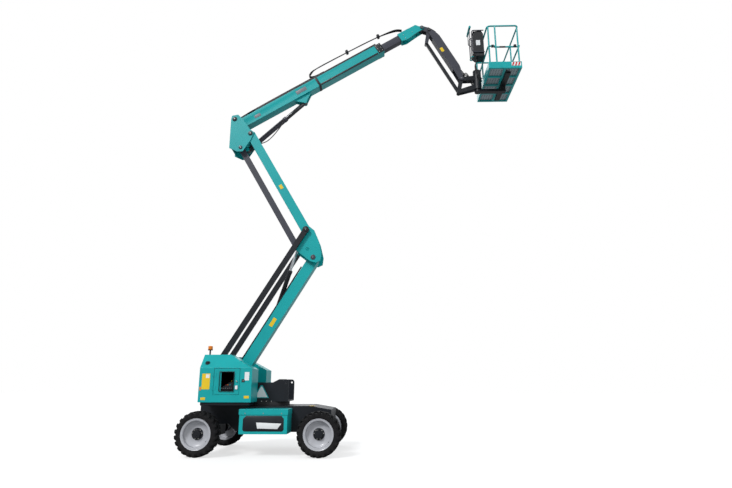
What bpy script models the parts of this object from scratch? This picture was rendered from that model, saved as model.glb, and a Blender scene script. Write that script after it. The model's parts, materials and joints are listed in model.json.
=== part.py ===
"""Articulating boom lift: two stacked riser stages, a telescoping main boom, a jib and a rotating platform.

Frame: metres, +Z up, +X from the chassis towards the platform, the ground at z = 0. All sizes are set out
from the wheelbase centre, and the root empty then carries the whole machine so that the origin lies under
the middle of its box. "near" is the -Y side and "far" the +Y side.
"""

import math

import bmesh
import bpy
from mathutils import Matrix, Vector

# ---------------------------------------------------------------------------------------------------------
# Driving dimensions
# ---------------------------------------------------------------------------------------------------------
FIT_GAP = 0.0003            # between pieces that rest on each other
PIPE_SIDES = 8              # sides of a rail's round section
PIN_PLAY = 0.0006           # radial play of a pin in its bore
SIDE_PLAY = 0.006           # beside a moving arm

WHEELBASE = 2.34
TYRE_R = 0.4225
TYRE_W = 0.30
BEAD_R = 0.262              # where the tyre sits on the rim
RIM_FLANGE_R = 0.2927
RIM_DISH = 0.13             # depth of the wheel disc behind the outer flange
RIM_WALL = 0.008
RIM_INSET = 0.016           # rim edge behind the tyre's outer face
HUB_R = 0.085
WHEEL_Y = 1.0               # tyre centre plane

CHASSIS_HALF_L = WHEELBASE / 2 + 0.19   # the frame ends just past each axle
CHASSIS_TOP = 0.92
CHASSIS_LOW = 0.42
CHASSIS_ARCH = 0.56         # underside above the axles
CHASSIS_HALF_W = 0.55
CHASSIS_NOSE_HALF_W = 0.36  # narrow end between the steered wheels
CHASSIS_WALL = 0.012
STEP_X = -0.50              # where the narrow end begins

BOX_X0, BOX_X1 = -0.371, 0.56
BOX_OUT_Y = 1.05
BOX_TOP = 0.88
BOX_LID = 0.108
BOX_WALL = 0.006

AXLE_HALF = 0.09            # half height and half length of the square axle beams
PAD_W = 0.06                # pads that carry the chassis on the axles
KING_Y = 0.66
KING_R = 0.03
EAR_T = 0.022
EAR_R = 0.05                # round end of an ear around its king pin
EAR_GAP = 0.21              # between the two ears
MOTOR_STANDOFF = 0.06       # from the king pin to the drive motor's back
DRIVE_R = 0.11              # drive motor housing

RING_R = 0.42
DECK_Z = 1.0                # underside of the turret deck
DECK_T = 0.03
TURRET_X0 = -1.24
TURRET_FRONT = 0.45
SIDE_Y = 0.37               # middle of each turret side plate
PLATE_T = 0.02
HOOD_X1 = -0.19
HOOD_IN_Y = 0.405
HOOD_OUT_Y = 0.95
HOOD_SHOULDER = 1.66
HOOD_TOP = 1.93
HOOD_WALL = 0.005
DOOR_X0, DOOR_X1 = -0.942, -0.437
DOOR_Z0, DOOR_Z1 = 1.149, 1.647
DOOR_GAP = 0.006
DOOR_T = 0.02
HINGE_R = 0.009
HINGE_LEAF = 0.04           # how far a hinge reaches over its door
PANEL_INSET = 0.012         # control panel behind its door
PANEL_X0, PANEL_X1 = -0.80, -0.548
PANEL_Z0, PANEL_Z1 = 1.218, 1.577
PANEL_DEPTH = 0.10

LOWER_PIN = (-0.843, 1.24)  # base pin of the lower riser
LOWER_LEN = 3.316
LOWER_DEG = 58.9
LOWER_DEPTH = 0.24
LOWER_W = 0.24
BEAM_WALL = 0.010
LINK_SHIFT = (-0.171, 0.622)   # from a lower riser pin to the matching lower link pin
LINK_Y = 0.315              # middle of each lower link
LINK_W = 0.05
LINK_DEPTH = 0.12

UPPER_LEN = 2.796
UPPER_DEG = 120.1
UPPER_DEPTH = 0.205
UPPER_TUBE_W = 0.08
UPPER_TUBE_Y = 0.19         # middle of each tube of the upper riser
STAY_SHIFT = (-0.216, -0.361)  # from an upper riser pin to the matching upper link pin
STAY_Y = 0.12
STAY_W = 0.04
STAY_DEPTH = 0.14
KNEE_Y = 0.246              # middle of the side plates at both knees
KNEE_T = 0.018

BOOM_SHIFT = (-0.40, 0.38)  # from the upper riser's top pin to the main boom's pivot
BOOM_DEG = 31.2
BOOM_LEN = 4.09
BOOM_DEPTH = 0.25
BOOM_TOP = 0.02             # top face above the pivot line
BOOM_W = 0.24
BOOM_WALL = 0.008
INNER_DROP = 0.03           # clearance step from the outer boom's walls to the inner boom
INNER_OUT = 0.52            # how far the inner boom shows
INNER_INSIDE = 1.9          # how much of it stays inside
EXTENSION = 1.35            # telescope stroke

LIFT_BASE = (-0.09, -0.33)  # from the upper riser's top pin to the lift cylinder's base pin
LIFT_EYE = (1.70, -0.375)   # rod eye along and above the main boom's pivot line
LIFT_BARREL_R = 0.0575
LIFT_BARREL_LEN = 1.22
LIFT_ROD_R = 0.035
LIFT_STROKE_IN = 0.44       # how far the lift cylinder still closes
RISER_CYL_ALONG, RISER_CYL_UP = 1.753, 0.058   # base pin of the riser cylinder on the lower riser
RISER_BARREL_R = 0.05
RISER_BARREL_LEN = 1.10
RISER_ROD_R = 0.03
RISER_STROKE_IN = 0.45      # how far the riser cylinder still closes
EYE_HALF_W = 0.05
EYE_RIM = 0.010             # wall of a rod's eye around the rod's own radius
BASE_PIN_R = 0.04
PIN_R = 0.035
PIN_PROUD = 0.004           # how far a pin's end stands out of its plate
BOSS_R = 0.075

HEAD_REACH, HEAD_DROP = 0.636, -0.151   # levelling pin beyond the inner boom's end, and above the pivot line
HEAD_PIN = (BOOM_LEN + INNER_OUT + HEAD_REACH, HEAD_DROP)
JIB_PIN = (0.179, -0.064)   # from the levelling pin to the jib's upper pin, level frame
JIB_SHIFT = (-0.07, -0.34)  # from a jib pin to the matching levelling link pin
JIB_LEN = 1.594
JIB_DEG = -61.7
JIB_DEPTH = 0.20
JIB_W = 0.18
JIB_START_TRIM, JIB_END_TRIM = 0.25, 0.32   # from each pin to the jib's tube
JIB_EAR_LAP = 0.09          # how far the jib's ears reach onto its tube
TIP_W = 0.20

POST_X = 0.40               # from the jib's lower pin to the platform's rotation axis
POST_R = 0.10
POST_DROP, POST_RISE = 0.30, 0.235
FLOOR_Z = -0.167            # floor underside above the jib's lower pin
BASKET_NEAR_X = 0.13        # from the rotation axis to the basket's inner side
BASKET_L = 0.77             # along X
BASKET_W = 1.54             # along Y
FLOOR_T = 0.045
TOE_H = 0.12
RAIL_H = 1.165
MID_RAIL_H = 0.60
RAIL_R = 0.019
TOE_T = 0.004
GATE_POST = 0.20            # from the basket's inner side to the post beside the entry
DECK_INSET = 2 * RAIL_R + 0.007   # bare edge around the raised floor plate, under the posts
DECK_STEP = 0.003
CONSOLE_Y = (-0.40, -0.12)
CONSOLE_Z = (0.58, 1.30)    # above the floor's underside
CONSOLE_DEPTH = 0.27


# ---------------------------------------------------------------------------------------------------------
# Scene and materials
# ---------------------------------------------------------------------------------------------------------
for old in list(bpy.data.objects):
    bpy.data.objects.remove(old, do_unlink=True)


def collection(name):
    made = bpy.data.collections.new(name)
    bpy.context.scene.collection.children.link(made)
    return made


MACHINE = collection("boom_lift")
WORK = collection("working_shapes")


def material(name, colour, roughness, metallic=0.0):
    made = bpy.data.materials.new(name)
    made.use_nodes = True
    shader = made.node_tree.nodes["Principled BSDF"]
    shader.inputs["Base Color"].default_value = (*colour, 1.0)
    shader.inputs["Roughness"].default_value = roughness
    shader.inputs["Metallic"].default_value = metallic
    return made


TEAL = material("teal_paint", (0.010, 0.330, 0.340), 0.4)
BLACK = material("black_paint", (0.022, 0.026, 0.032), 0.45)
GREY = material("dark_grey_paint", (0.085, 0.090, 0.105), 0.45)
RIM_GREY = material("rim_grey", (0.42, 0.42, 0.44), 0.5)
RUBBER = material("tyre_rubber", (0.018, 0.018, 0.018), 0.85)
CHROME = material("chrome", (0.75, 0.76, 0.78), 0.15, 1.0)
AMBER = material("amber_lens", (0.90, 0.32, 0.02), 0.25)
IRON = material("cast_iron", (0.05, 0.05, 0.05), 0.7, 0.4)
PLASTIC = material("black_plastic", (0.03, 0.03, 0.032), 0.55)


# ---------------------------------------------------------------------------------------------------------
# Shape helpers: each returns a mesh object in the machine's frame
# ---------------------------------------------------------------------------------------------------------
def wrap(mesh):
    made = bpy.data.objects.new("shape", mesh)
    WORK.objects.link(made)
    return made


def clean(mesh, merge=1e-6):
    shape = bmesh.new()
    shape.from_mesh(mesh)
    bmesh.ops.remove_doubles(shape, verts=shape.verts, dist=merge)
    bmesh.ops.dissolve_degenerate(shape, edges=shape.edges, dist=merge)
    bmesh.ops.recalc_face_normals(shape, faces=shape.faces)
    shape.to_mesh(mesh)
    shape.free()
    return mesh


def evaluated(shape, matrix=Matrix()):
    """The shape's mesh with its modifiers applied, moved by its own matrix; the shape itself is removed."""
    bpy.context.view_layer.update()
    depsgraph = bpy.context.evaluated_depsgraph_get()
    mesh = bpy.data.meshes.new_from_object(shape.evaluated_get(depsgraph))
    mesh.transform(matrix @ shape.matrix_world)
    bpy.data.objects.remove(shape, do_unlink=True)
    return clean(mesh)


def flat(outline, holes, thickness, matrix):
    """A flat outline with holes, as thick as asked, centred on its own plane."""
    curve = bpy.data.curves.new("outline", "CURVE")
    curve.dimensions = "2D"
    curve.fill_mode = "BOTH"
    curve.extrude = thickness / 2
    for loop in [outline, *holes]:
        spline = curve.splines.new("POLY")
        spline.points.add(len(loop) - 1)
        for point, (x, y) in zip(spline.points, loop):
            point.co = (x, y, 0, 1)
        spline.use_cyclic_u = True
    shape = bpy.data.objects.new("outline", curve)
    WORK.objects.link(shape)
    return wrap(evaluated(shape, matrix))


def side_plate(outline, y0, y1, holes=()):
    """An outline in the XZ plane, between y0 and y1."""
    turn = Matrix.Rotation(math.pi / 2, 4, "X")
    return flat(outline, holes, abs(y1 - y0), Matrix.Translation((0, (y0 + y1) / 2, 0)) @ turn)


def plan_plate(outline, z0, z1, holes=()):
    """An outline in the XY plane, between z0 and z1."""
    return flat(outline, holes, z1 - z0, Matrix.Translation((0, 0, (z0 + z1) / 2)))


def box(x, y, z):
    """A box from pairs of limits."""
    shape = bmesh.new()
    bmesh.ops.create_cube(shape, size=1.0)
    size = (x[1] - x[0], y[1] - y[0], z[1] - z[0])
    centre = ((x[0] + x[1]) / 2, (y[0] + y[1]) / 2, (z[0] + z[1]) / 2)
    shape.transform(Matrix.Translation(centre) @ Matrix.Diagonal((*size, 1)))
    mesh = bpy.data.meshes.new("box")
    shape.to_mesh(mesh)
    shape.free()
    return wrap(mesh)


def rod(start, end, radius, sides=24):
    """A cylinder between two points."""
    start, end = Vector(start), Vector(end)
    shape = bmesh.new()
    bmesh.ops.create_cone(
        shape, cap_ends=True, segments=sides, radius1=radius, radius2=radius, depth=(end - start).length
    )
    turn = (end - start).to_track_quat("Z", "Y").to_matrix().to_4x4()
    shape.transform(Matrix.Translation((start + end) / 2) @ turn)
    mesh = bpy.data.meshes.new("rod")
    shape.to_mesh(mesh)
    shape.free()
    return wrap(mesh)


def cross_pin(point, half, radius, sides=24):
    """A cylinder along Y through a point of the XZ plane, from -half to half."""
    return rod((point[0], -half, point[1]), (point[0], half, point[1]), radius, sides)


def stub(point, y0, y1, radius, sides=24):
    """A cylinder along Y through a point of the XZ plane, from y0 to y1."""
    return rod((point[0], y0, point[1]), (point[0], y1, point[1]), radius, sides)


def bends(points, radius, closed, steps=4):
    """The points with each corner rounded, so that a tube along them keeps its thickness."""
    count = len(points)
    out = []
    for i, point in enumerate(points):
        corner = Vector(point)
        if not closed and i in (0, count - 1):
            out.append(corner)
            continue
        before = (Vector(points[i - 1]) - corner).normalized()
        after = (Vector(points[(i + 1) % count]) - corner).normalized()
        half = before.angle(after) / 2
        centre = corner + (before + after).normalized() * radius / math.sin(half)
        start = corner + before * radius / math.tan(half) - centre
        end = corner + after * radius / math.tan(half) - centre
        out += [centre + start.lerp(end, k / steps).normalized() * radius for k in range(steps + 1)]
    return out


def pipe(points, radius, closed=False, bend=0.03):
    """A round tube along straight runs with bends between them."""
    curve = bpy.data.curves.new("pipe", "CURVE")
    curve.dimensions = "3D"
    curve.bevel_depth = radius
    curve.bevel_resolution = PIPE_SIDES // 2 - 2
    curve.use_fill_caps = not closed
    spline = curve.splines.new("POLY")
    route = bends(points, bend, closed)
    spline.points.add(len(route) - 1)
    for point, place in zip(spline.points, route):
        point.co = (*place, 1)
    spline.use_cyclic_u = closed
    shape = bpy.data.objects.new("pipe", curve)
    WORK.objects.link(shape)
    return wrap(evaluated(shape))


def turned(profile, centre, axis, sides=32, closed=True):
    """A closed (radius, height) profile turned about an axis through the centre."""
    shape = bmesh.new()
    rim = [shape.verts.new((radius, 0, height)) for radius, height in profile]
    pairs = zip(rim, rim[1:] + rim[:1]) if closed else zip(rim, rim[1:])
    for a, b in pairs:
        shape.edges.new((a, b))
    mesh = bpy.data.meshes.new("turned")
    shape.to_mesh(mesh)
    shape.free()
    made = wrap(mesh)
    screw = made.modifiers.new("turn", "SCREW")
    screw.steps = sides
    screw.render_steps = sides
    screw.use_merge_vertices = True
    screw.merge_threshold = 0.00001
    turn = Vector(axis).to_track_quat("Z", "Y").to_matrix().to_4x4()
    return wrap(evaluated(made, Matrix.Translation(centre) @ turn))


def boolean(base, tool, operation, solver="EXACT"):
    modifier = base.modifiers.new("cut", "BOOLEAN")
    modifier.operation = operation
    modifier.solver = solver
    modifier.object = tool
    made = wrap(evaluated(base))
    bpy.data.objects.remove(tool, do_unlink=True)
    return made


def fuse(parts, cuts=(), solver="EXACT"):
    """One solid from several, less the cuts. The MANIFOLD solver is for shapes that EXACT leaves open."""
    base = parts[0]
    for part in parts[1:]:
        base = boolean(base, part, "UNION", solver)
    for cut in cuts:
        base = boolean(base, cut, "DIFFERENCE", solver)
    return base


def along(start, degrees, distance, up=0.0):
    """The point of the XZ plane at a distance along a slope and up from it."""
    angle = math.radians(degrees)
    return (
        start[0] + distance * math.cos(angle) - up * math.sin(angle),
        start[1] + distance * math.sin(angle) + up * math.cos(angle),
    )


def thinner(y, skin=0.001):
    """The limits y less a skin on both sides, so that two plates that cross share no face."""
    return (y[0] + skin, y[1] - skin)


def shifted(point, shift):
    return (point[0] + shift[0], point[1] + shift[1])


def sloped(start, degrees, run, rise, y):
    """A solid bar: run and rise are limits along and above a slope from the start, y its limits across."""
    corners = [along(start, degrees, u, v) for u, v in
               ((run[0], rise[0]), (run[1], rise[0]), (run[1], rise[1]), (run[0], rise[1]))]
    return side_plate(corners, y[0], y[1])


def hollow(start, degrees, run, rise, half_w, wall):
    """A rectangular tube with open ends."""
    outer = sloped(start, degrees, run, rise, (-half_w, half_w))
    inner = sloped(start, degrees, (run[0] - 1, run[1] + 1), (rise[0] + wall, rise[1] - wall),
                   (wall - half_w, half_w - wall))
    return boolean(outer, inner, "DIFFERENCE")


def arc(centre, radius, start, end, steps):
    """Points on an arc, angles in degrees."""
    return [
        (centre[0] + radius * math.cos(math.radians(start + (end - start) * i / steps)),
         centre[1] + radius * math.sin(math.radians(start + (end - start) * i / steps)))
        for i in range(steps + 1)
    ]


def hull_of_discs(first, second, r1, r2, steps=6):
    """The outline around two discs."""
    dx, dz = second[0] - first[0], second[1] - first[1]
    lean = math.degrees(math.atan2(dz, dx))
    spread = math.degrees(math.acos((r1 - r2) / math.hypot(dx, dz)))
    return (arc(second, r2, lean - spread, lean + spread, steps)
            + arc(first, r1, lean + spread, lean + 360 - spread, steps))


# ---------------------------------------------------------------------------------------------------------
# Pins, worked out up the machine
# ---------------------------------------------------------------------------------------------------------
AXLE_X = WHEELBASE / 2
LINK_BASE = shifted(LOWER_PIN, LINK_SHIFT)
KNEE_A = along(LOWER_PIN, LOWER_DEG, LOWER_LEN)          # lower riser to knee
KNEE_B = shifted(KNEE_A, LINK_SHIFT)                     # lower links and upper riser to knee
KNEE_C = shifted(KNEE_B, STAY_SHIFT)                     # upper link to knee
HEAD_D = along(KNEE_B, UPPER_DEG, UPPER_LEN)             # upper riser to boom carrier
HEAD_E = shifted(HEAD_D, STAY_SHIFT)                     # upper link to boom carrier
BOOM_PIN = shifted(HEAD_D, BOOM_SHIFT)
LIFT_PIN = shifted(HEAD_D, LIFT_BASE)
LIFT_ROD_PIN = along(BOOM_PIN, BOOM_DEG, *LIFT_EYE)
RISER_CYL_PIN = along(LOWER_PIN, LOWER_DEG, RISER_CYL_ALONG, RISER_CYL_UP)
TIP_PIN = along(BOOM_PIN, BOOM_DEG, *HEAD_PIN)
JIB_TOP = shifted(TIP_PIN, JIB_PIN)
JIB_LINK_TOP = shifted(JIB_TOP, JIB_SHIFT)
JIB_END = along(JIB_TOP, JIB_DEG, JIB_LEN)
JIB_LINK_END = shifted(JIB_END, JIB_SHIFT)
POST_AXIS = JIB_END[0] + POST_X
FLOOR_LOW = JIB_END[1] + FLOOR_Z
BASKET_X0 = POST_AXIS + BASKET_NEAR_X
BASKET_X1 = BASKET_X0 + BASKET_L
ORIGIN_X = (BASKET_X1 - AXLE_X - TYRE_R) / 2             # middle of the machine's box
RAIL_IN = TOE_T + FIT_GAP + RAIL_R                       # from the basket's side to a rail's middle
HINGE_X = DOOR_X0 - DOOR_GAP - HINGE_R
HINGE_Y = HOOD_OUT_Y + HINGE_R + FIT_GAP
MOTOR_END_Y = WHEEL_Y + TYRE_W / 2 - RIM_INSET - RIM_DISH - RIM_WALL - FIT_GAP

# Bodies: name, parent, a point on the joint's axis
BODIES = {
    "chassis": (None, (0, 0, 0)),
    "knuckle_near": ("chassis", (-AXLE_X, -KING_Y, TYRE_R)),
    "knuckle_far": ("chassis", (-AXLE_X, KING_Y, TYRE_R)),
    "wheel_steer_near": ("knuckle_near", (-AXLE_X, -WHEEL_Y, TYRE_R)),
    "wheel_steer_far": ("knuckle_far", (-AXLE_X, WHEEL_Y, TYRE_R)),
    "wheel_fixed_near": ("chassis", (AXLE_X, -WHEEL_Y, TYRE_R)),
    "wheel_fixed_far": ("chassis", (AXLE_X, WHEEL_Y, TYRE_R)),
    "turret": ("chassis", (0, 0, DECK_Z)),
    "door_near": ("turret", (HINGE_X, -HINGE_Y, DOOR_Z0)),
    "door_far": ("turret", (HINGE_X, HINGE_Y, DOOR_Z0)),
    "lower_riser": ("turret", (LOWER_PIN[0], 0, LOWER_PIN[1])),
    "lower_links": ("turret", (LINK_BASE[0], 0, LINK_BASE[1])),
    "riser_barrel": ("lower_riser", (RISER_CYL_PIN[0], 0, RISER_CYL_PIN[1])),
    "riser_rod": ("riser_barrel", (KNEE_C[0], 0, KNEE_C[1])),
    "knee": ("lower_riser", (KNEE_A[0], 0, KNEE_A[1])),
    "upper_riser": ("knee", (KNEE_B[0], 0, KNEE_B[1])),
    "upper_link": ("knee", (KNEE_C[0], 0, KNEE_C[1])),
    "boom_carrier": ("upper_riser", (HEAD_D[0], 0, HEAD_D[1])),
    "lift_barrel": ("boom_carrier", (LIFT_PIN[0], 0, LIFT_PIN[1])),
    "lift_rod": ("lift_barrel", (LIFT_ROD_PIN[0], 0, LIFT_ROD_PIN[1])),
    "boom": ("boom_carrier", (BOOM_PIN[0], 0, BOOM_PIN[1])),
    "extension": ("boom", (TIP_PIN[0], 0, TIP_PIN[1])),
    "jib_head": ("extension", (TIP_PIN[0], 0, TIP_PIN[1])),
    "jib": ("jib_head", (JIB_TOP[0], 0, JIB_TOP[1])),
    "jib_link": ("jib_head", (JIB_LINK_TOP[0], 0, JIB_LINK_TOP[1])),
    "platform_bracket": ("jib", (JIB_END[0], 0, JIB_END[1])),
    "basket": ("platform_bracket", (POST_AXIS, 0, FLOOR_LOW)),
    "entry_bar": ("basket", (BASKET_X0 + GATE_POST, RAIL_IN + 2 * RAIL_R - BASKET_W / 2, FLOOR_LOW + MID_RAIL_H)),
}
EMPTIES = {}


def make_empties():
    for name, (parent, point) in BODIES.items():
        empty = bpy.data.objects.new("body_" + name, None)
        MACHINE.objects.link(empty)
        if parent is None:
            empty.location = (point[0] - ORIGIN_X, point[1], point[2])
        else:
            empty.parent = EMPTIES[parent]
            empty.location = Vector(point) - Vector(BODIES[parent][1])
        EMPTIES[name] = empty


def finish(name, body, shape, paint):
    """Names the shape, gives it its paint and hangs it on its body, its origin on the body's joint."""
    mesh = clean(shape.data)
    mesh.transform(Matrix.Translation(-Vector(BODIES[body][1])))
    mesh.materials.clear()
    mesh.materials.append(paint)
    mesh.shade_smooth()
    mesh.set_sharp_from_angle(angle=math.radians(32))
    made = bpy.data.objects.new(name, mesh)
    MACHINE.objects.link(made)
    made.parent = EMPTIES[body]
    bpy.data.objects.remove(shape, do_unlink=True)
    return made


# ---------------------------------------------------------------------------------------------------------
# Chassis, axles and wheels
# ---------------------------------------------------------------------------------------------------------
def chassis_frame():
    end = CHASSIS_HALF_L
    outline = [(-end, CHASSIS_ARCH), (-0.76, CHASSIS_ARCH), (-0.62, CHASSIS_LOW), (0.70, CHASSIS_LOW),
               (0.84, CHASSIS_ARCH), (end, CHASSIS_ARCH), (end, CHASSIS_TOP - 0.07), (end - 0.42, CHASSIS_TOP),
               (-end, CHASSIS_TOP)]
    body = side_plate(outline, -CHASSIS_HALF_W, CHASSIS_HALF_W)
    wide, narrow, wall = CHASSIS_HALF_W, CHASSIS_NOSE_HALF_W, CHASSIS_WALL
    cuts = [box((-end - 1, STEP_X), (side * narrow, side * 2) if side > 0 else (-2, -narrow), (0, 2))
            for side in (-1, 1)]
    roof = CHASSIS_TOP - wall
    cuts.append(box((STEP_X + wall, end - 0.44), (wall - wide, wide - wall), (0, roof)))
    cuts.append(box((-end + wall, STEP_X + 2 * wall), (wall - narrow, narrow - wall), (0, roof)))
    cuts.append(box((end - 0.45, end - wall), (wall - wide, wide - wall), (0, roof - 0.075)))
    finish("chassis_frame", "chassis", fuse([body], cuts, "MANIFOLD"), BLACK)


def side_box(label, side):
    inner = side * (CHASSIS_HALF_W + FIT_GAP)
    outer = side * BOX_OUT_Y
    y = sorted((inner, outer))
    wall = BOX_WALL
    lid_low = BOX_TOP - BOX_LID
    shell = box((BOX_X0, BOX_X1), y, (CHASSIS_LOW, lid_low - FIT_GAP))
    cavity = box((BOX_X0 + wall, BOX_X1 - wall), (y[0] + wall, y[1] - wall), (CHASSIS_LOW + wall, 2))
    finish("side_box_" + label, "chassis", fuse([shell], [cavity]), TEAL)
    lip = 0.012
    y_lid = sorted((inner, outer + side * lip))
    cover = box((BOX_X0 - lip, BOX_X1 + lip), y_lid, (lid_low, BOX_TOP))
    under = box((BOX_X0 + wall, BOX_X1 - wall), (y[0] + wall, y[1] - wall), (0, BOX_TOP - wall))
    finish("side_lid_" + label, "chassis", fuse([cover], [under]), TEAL)


def axles():
    pad_top = CHASSIS_ARCH - FIT_GAP
    z = (TYRE_R - AXLE_HALF, TYRE_R + AXLE_HALF)
    lap = 0.02                  # where a round piece runs into a square one
    beam_end = KING_Y - lap
    parts = [box((AXLE_X - AXLE_HALF, AXLE_X + AXLE_HALF), (-beam_end, beam_end), z)]
    for side in (-1, 1):
        y = sorted((side * (CHASSIS_HALF_W - PAD_W), side * CHASSIS_HALF_W))
        parts.append(box((AXLE_X - AXLE_HALF, AXLE_X + AXLE_HALF), y, (TYRE_R, pad_top)))
        parts.append(stub((AXLE_X, TYRE_R), side * (beam_end - lap), side * MOTOR_END_Y, DRIVE_R))
    finish("axle_fixed", "chassis", fuse(parts), BLACK)

    ear_in = KING_Y - AXLE_HALF
    ear_z = EAR_GAP / 2
    parts = [box((-AXLE_X - AXLE_HALF, -AXLE_X + AXLE_HALF), (-ear_in, ear_in),
                 (TYRE_R - ear_z - EAR_T, TYRE_R + ear_z + EAR_T))]
    cuts = []
    for side in (-1, 1):
        y = sorted((side * (CHASSIS_NOSE_HALF_W - PAD_W), side * CHASSIS_NOSE_HALF_W))
        parts.append(box((-AXLE_X - AXLE_HALF, -AXLE_X + AXLE_HALF), y, (TYRE_R, pad_top)))
        king = (-AXLE_X, side * KING_Y)
        for up in (-1, 1):
            z_ear = sorted((TYRE_R + up * ear_z, TYRE_R + up * (ear_z + EAR_T)))
            inside = side * (ear_in - lap)
            parts.append(box((-AXLE_X - EAR_R, -AXLE_X + EAR_R), sorted((inside, side * KING_Y)), z_ear))
            parts.append(rod((*king, z_ear[0] + PIN_PLAY), (*king, z_ear[1] - PIN_PLAY), EAR_R))
        cuts.append(rod((*king, 0), (*king, 1), KING_R + PIN_PLAY))
    finish("axle_steer", "chassis", fuse(parts, cuts), BLACK)

    block_half = ear_z - 2 * PIN_PLAY
    for label, side in (("near", -1), ("far", 1)):
        king = (-AXLE_X, side * KING_Y)
        pin = rod((*king, TYRE_R - ear_z - EAR_T), (*king, TYRE_R + ear_z + EAR_T), KING_R)
        block = rod((*king, TYRE_R - block_half), (*king, TYRE_R + block_half), 2 * KING_R)
        motor = stub((-AXLE_X, TYRE_R), side * (KING_Y + MOTOR_STANDOFF), side * MOTOR_END_Y, DRIVE_R)
        neck = stub((-AXLE_X, TYRE_R), side * KING_Y, side * (KING_Y + MOTOR_STANDOFF + lap), 2 * KING_R - 0.002)
        finish("knuckle_" + label, "knuckle_" + label, fuse([pin, block, neck, motor]), BLACK)


def wheel(body):
    centre = Vector(BODIES[body][1])
    side = 1 if centre.y > 0 else -1
    axis = (0, side, 0)
    half = TYRE_W / 2
    bead = BEAD_R + FIT_GAP
    shoulder = 0.035
    seat = half - 0.022
    tyre = [(bead, -seat), (bead, seat), (RIM_FLANGE_R + 0.004, seat), (RIM_FLANGE_R + 0.014, half - 0.008),
            (TYRE_R - 0.07, half),
            (TYRE_R - 0.02, half - 0.012), (TYRE_R, half - shoulder), (TYRE_R, shoulder - half),
            (TYRE_R - 0.02, 0.012 - half), (TYRE_R - 0.07, -half), (RIM_FLANGE_R + 0.014, 0.008 - half),
            (RIM_FLANGE_R + 0.004, -seat)]
    finish(body.replace("wheel", "tyre"), body, turned(tyre, centre, axis), RUBBER)
    wall = RIM_WALL
    lip = seat + FIT_GAP
    disc = half - RIM_INSET - RIM_DISH
    rim = [(0.0, disc + 0.085), (HUB_R - 0.012, disc + 0.085), (HUB_R, disc + 0.07), (HUB_R, disc),
           (HUB_R + 0.05, disc), (BEAD_R - wall, disc + 0.04), (BEAD_R - wall, lip + 0.002),
           (RIM_FLANGE_R - 0.008, lip + 0.010), (RIM_FLANGE_R, lip + 0.006), (RIM_FLANGE_R - 0.004, lip),
           (BEAD_R, lip), (BEAD_R, -lip), (RIM_FLANGE_R - 0.004, -lip),
           (RIM_FLANGE_R, -lip - 0.006), (RIM_FLANGE_R - 0.008, -lip - 0.010), (BEAD_R - wall, -lip - 0.002),
           (BEAD_R - wall, disc + 0.025), (HUB_R + 0.05, disc - wall), (DRIVE_R, disc - wall), (0.0, disc - wall)]
    finish(body.replace("wheel", "rim"), body, turned(rim, centre, axis, closed=False), RIM_GREY)


def slew_ring():
    shape = rod((0, 0, CHASSIS_TOP + FIT_GAP), (0, 0, DECK_Z - FIT_GAP), RING_R, 32)
    finish("slew_ring", "chassis", shape, IRON)


# ---------------------------------------------------------------------------------------------------------
# Turret
# ---------------------------------------------------------------------------------------------------------
DECK_TOP = DECK_Z + DECK_T


def turret_frame():
    front_w = SIDE_Y + PLATE_T / 2
    deck = plan_plate([(TURRET_X0, -HOOD_OUT_Y + 0.02), (HOOD_X1 - 0.02, -HOOD_OUT_Y + 0.02), (HOOD_X1 - 0.02, -front_w),
                       (TURRET_FRONT, -front_w), (TURRET_FRONT, front_w), (HOOD_X1 - 0.02, front_w),
                       (HOOD_X1 - 0.02, HOOD_OUT_Y - 0.02), (TURRET_X0, HOOD_OUT_Y - 0.02)], DECK_Z, DECK_TOP)
    low = DECK_TOP - 0.005
    rear = LINK_BASE[0] - BOSS_R
    outline = [(rear, low), (TURRET_FRONT, low), *arc((TURRET_FRONT - 0.06, 1.385), 0.06, 0, 90, 4), (0.25, 1.445),
               (0.12, 1.38), (LOWER_PIN[0] + 0.25, 1.38), (LINK_BASE[0] + 0.16, LINK_BASE[1] + 0.02),
               *arc(LINK_BASE, BOSS_R, 20, 180, 6)]
    eye = arc((TURRET_FRONT - 0.055, 1.38), 0.02, 0, 315, 7)
    parts = [deck]
    for side in (-1, 1):
        y = sorted((side * (SIDE_Y - PLATE_T / 2), side * (SIDE_Y + PLATE_T / 2)))
        parts.append(side_plate(outline, y[0], y[1], [eye]))
        parts.append(stub(LINK_BASE, side * (LINK_Y - LINK_W / 2 - 0.004), side * SIDE_Y, PIN_R))
    parts.append(cross_pin(LOWER_PIN, SIDE_Y, BASE_PIN_R))
    parts.append(box((rear, rear + 0.02), (-SIDE_Y, SIDE_Y), (low, 1.55)))
    finish("turret_frame", "turret", fuse(parts), BLACK)


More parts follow.
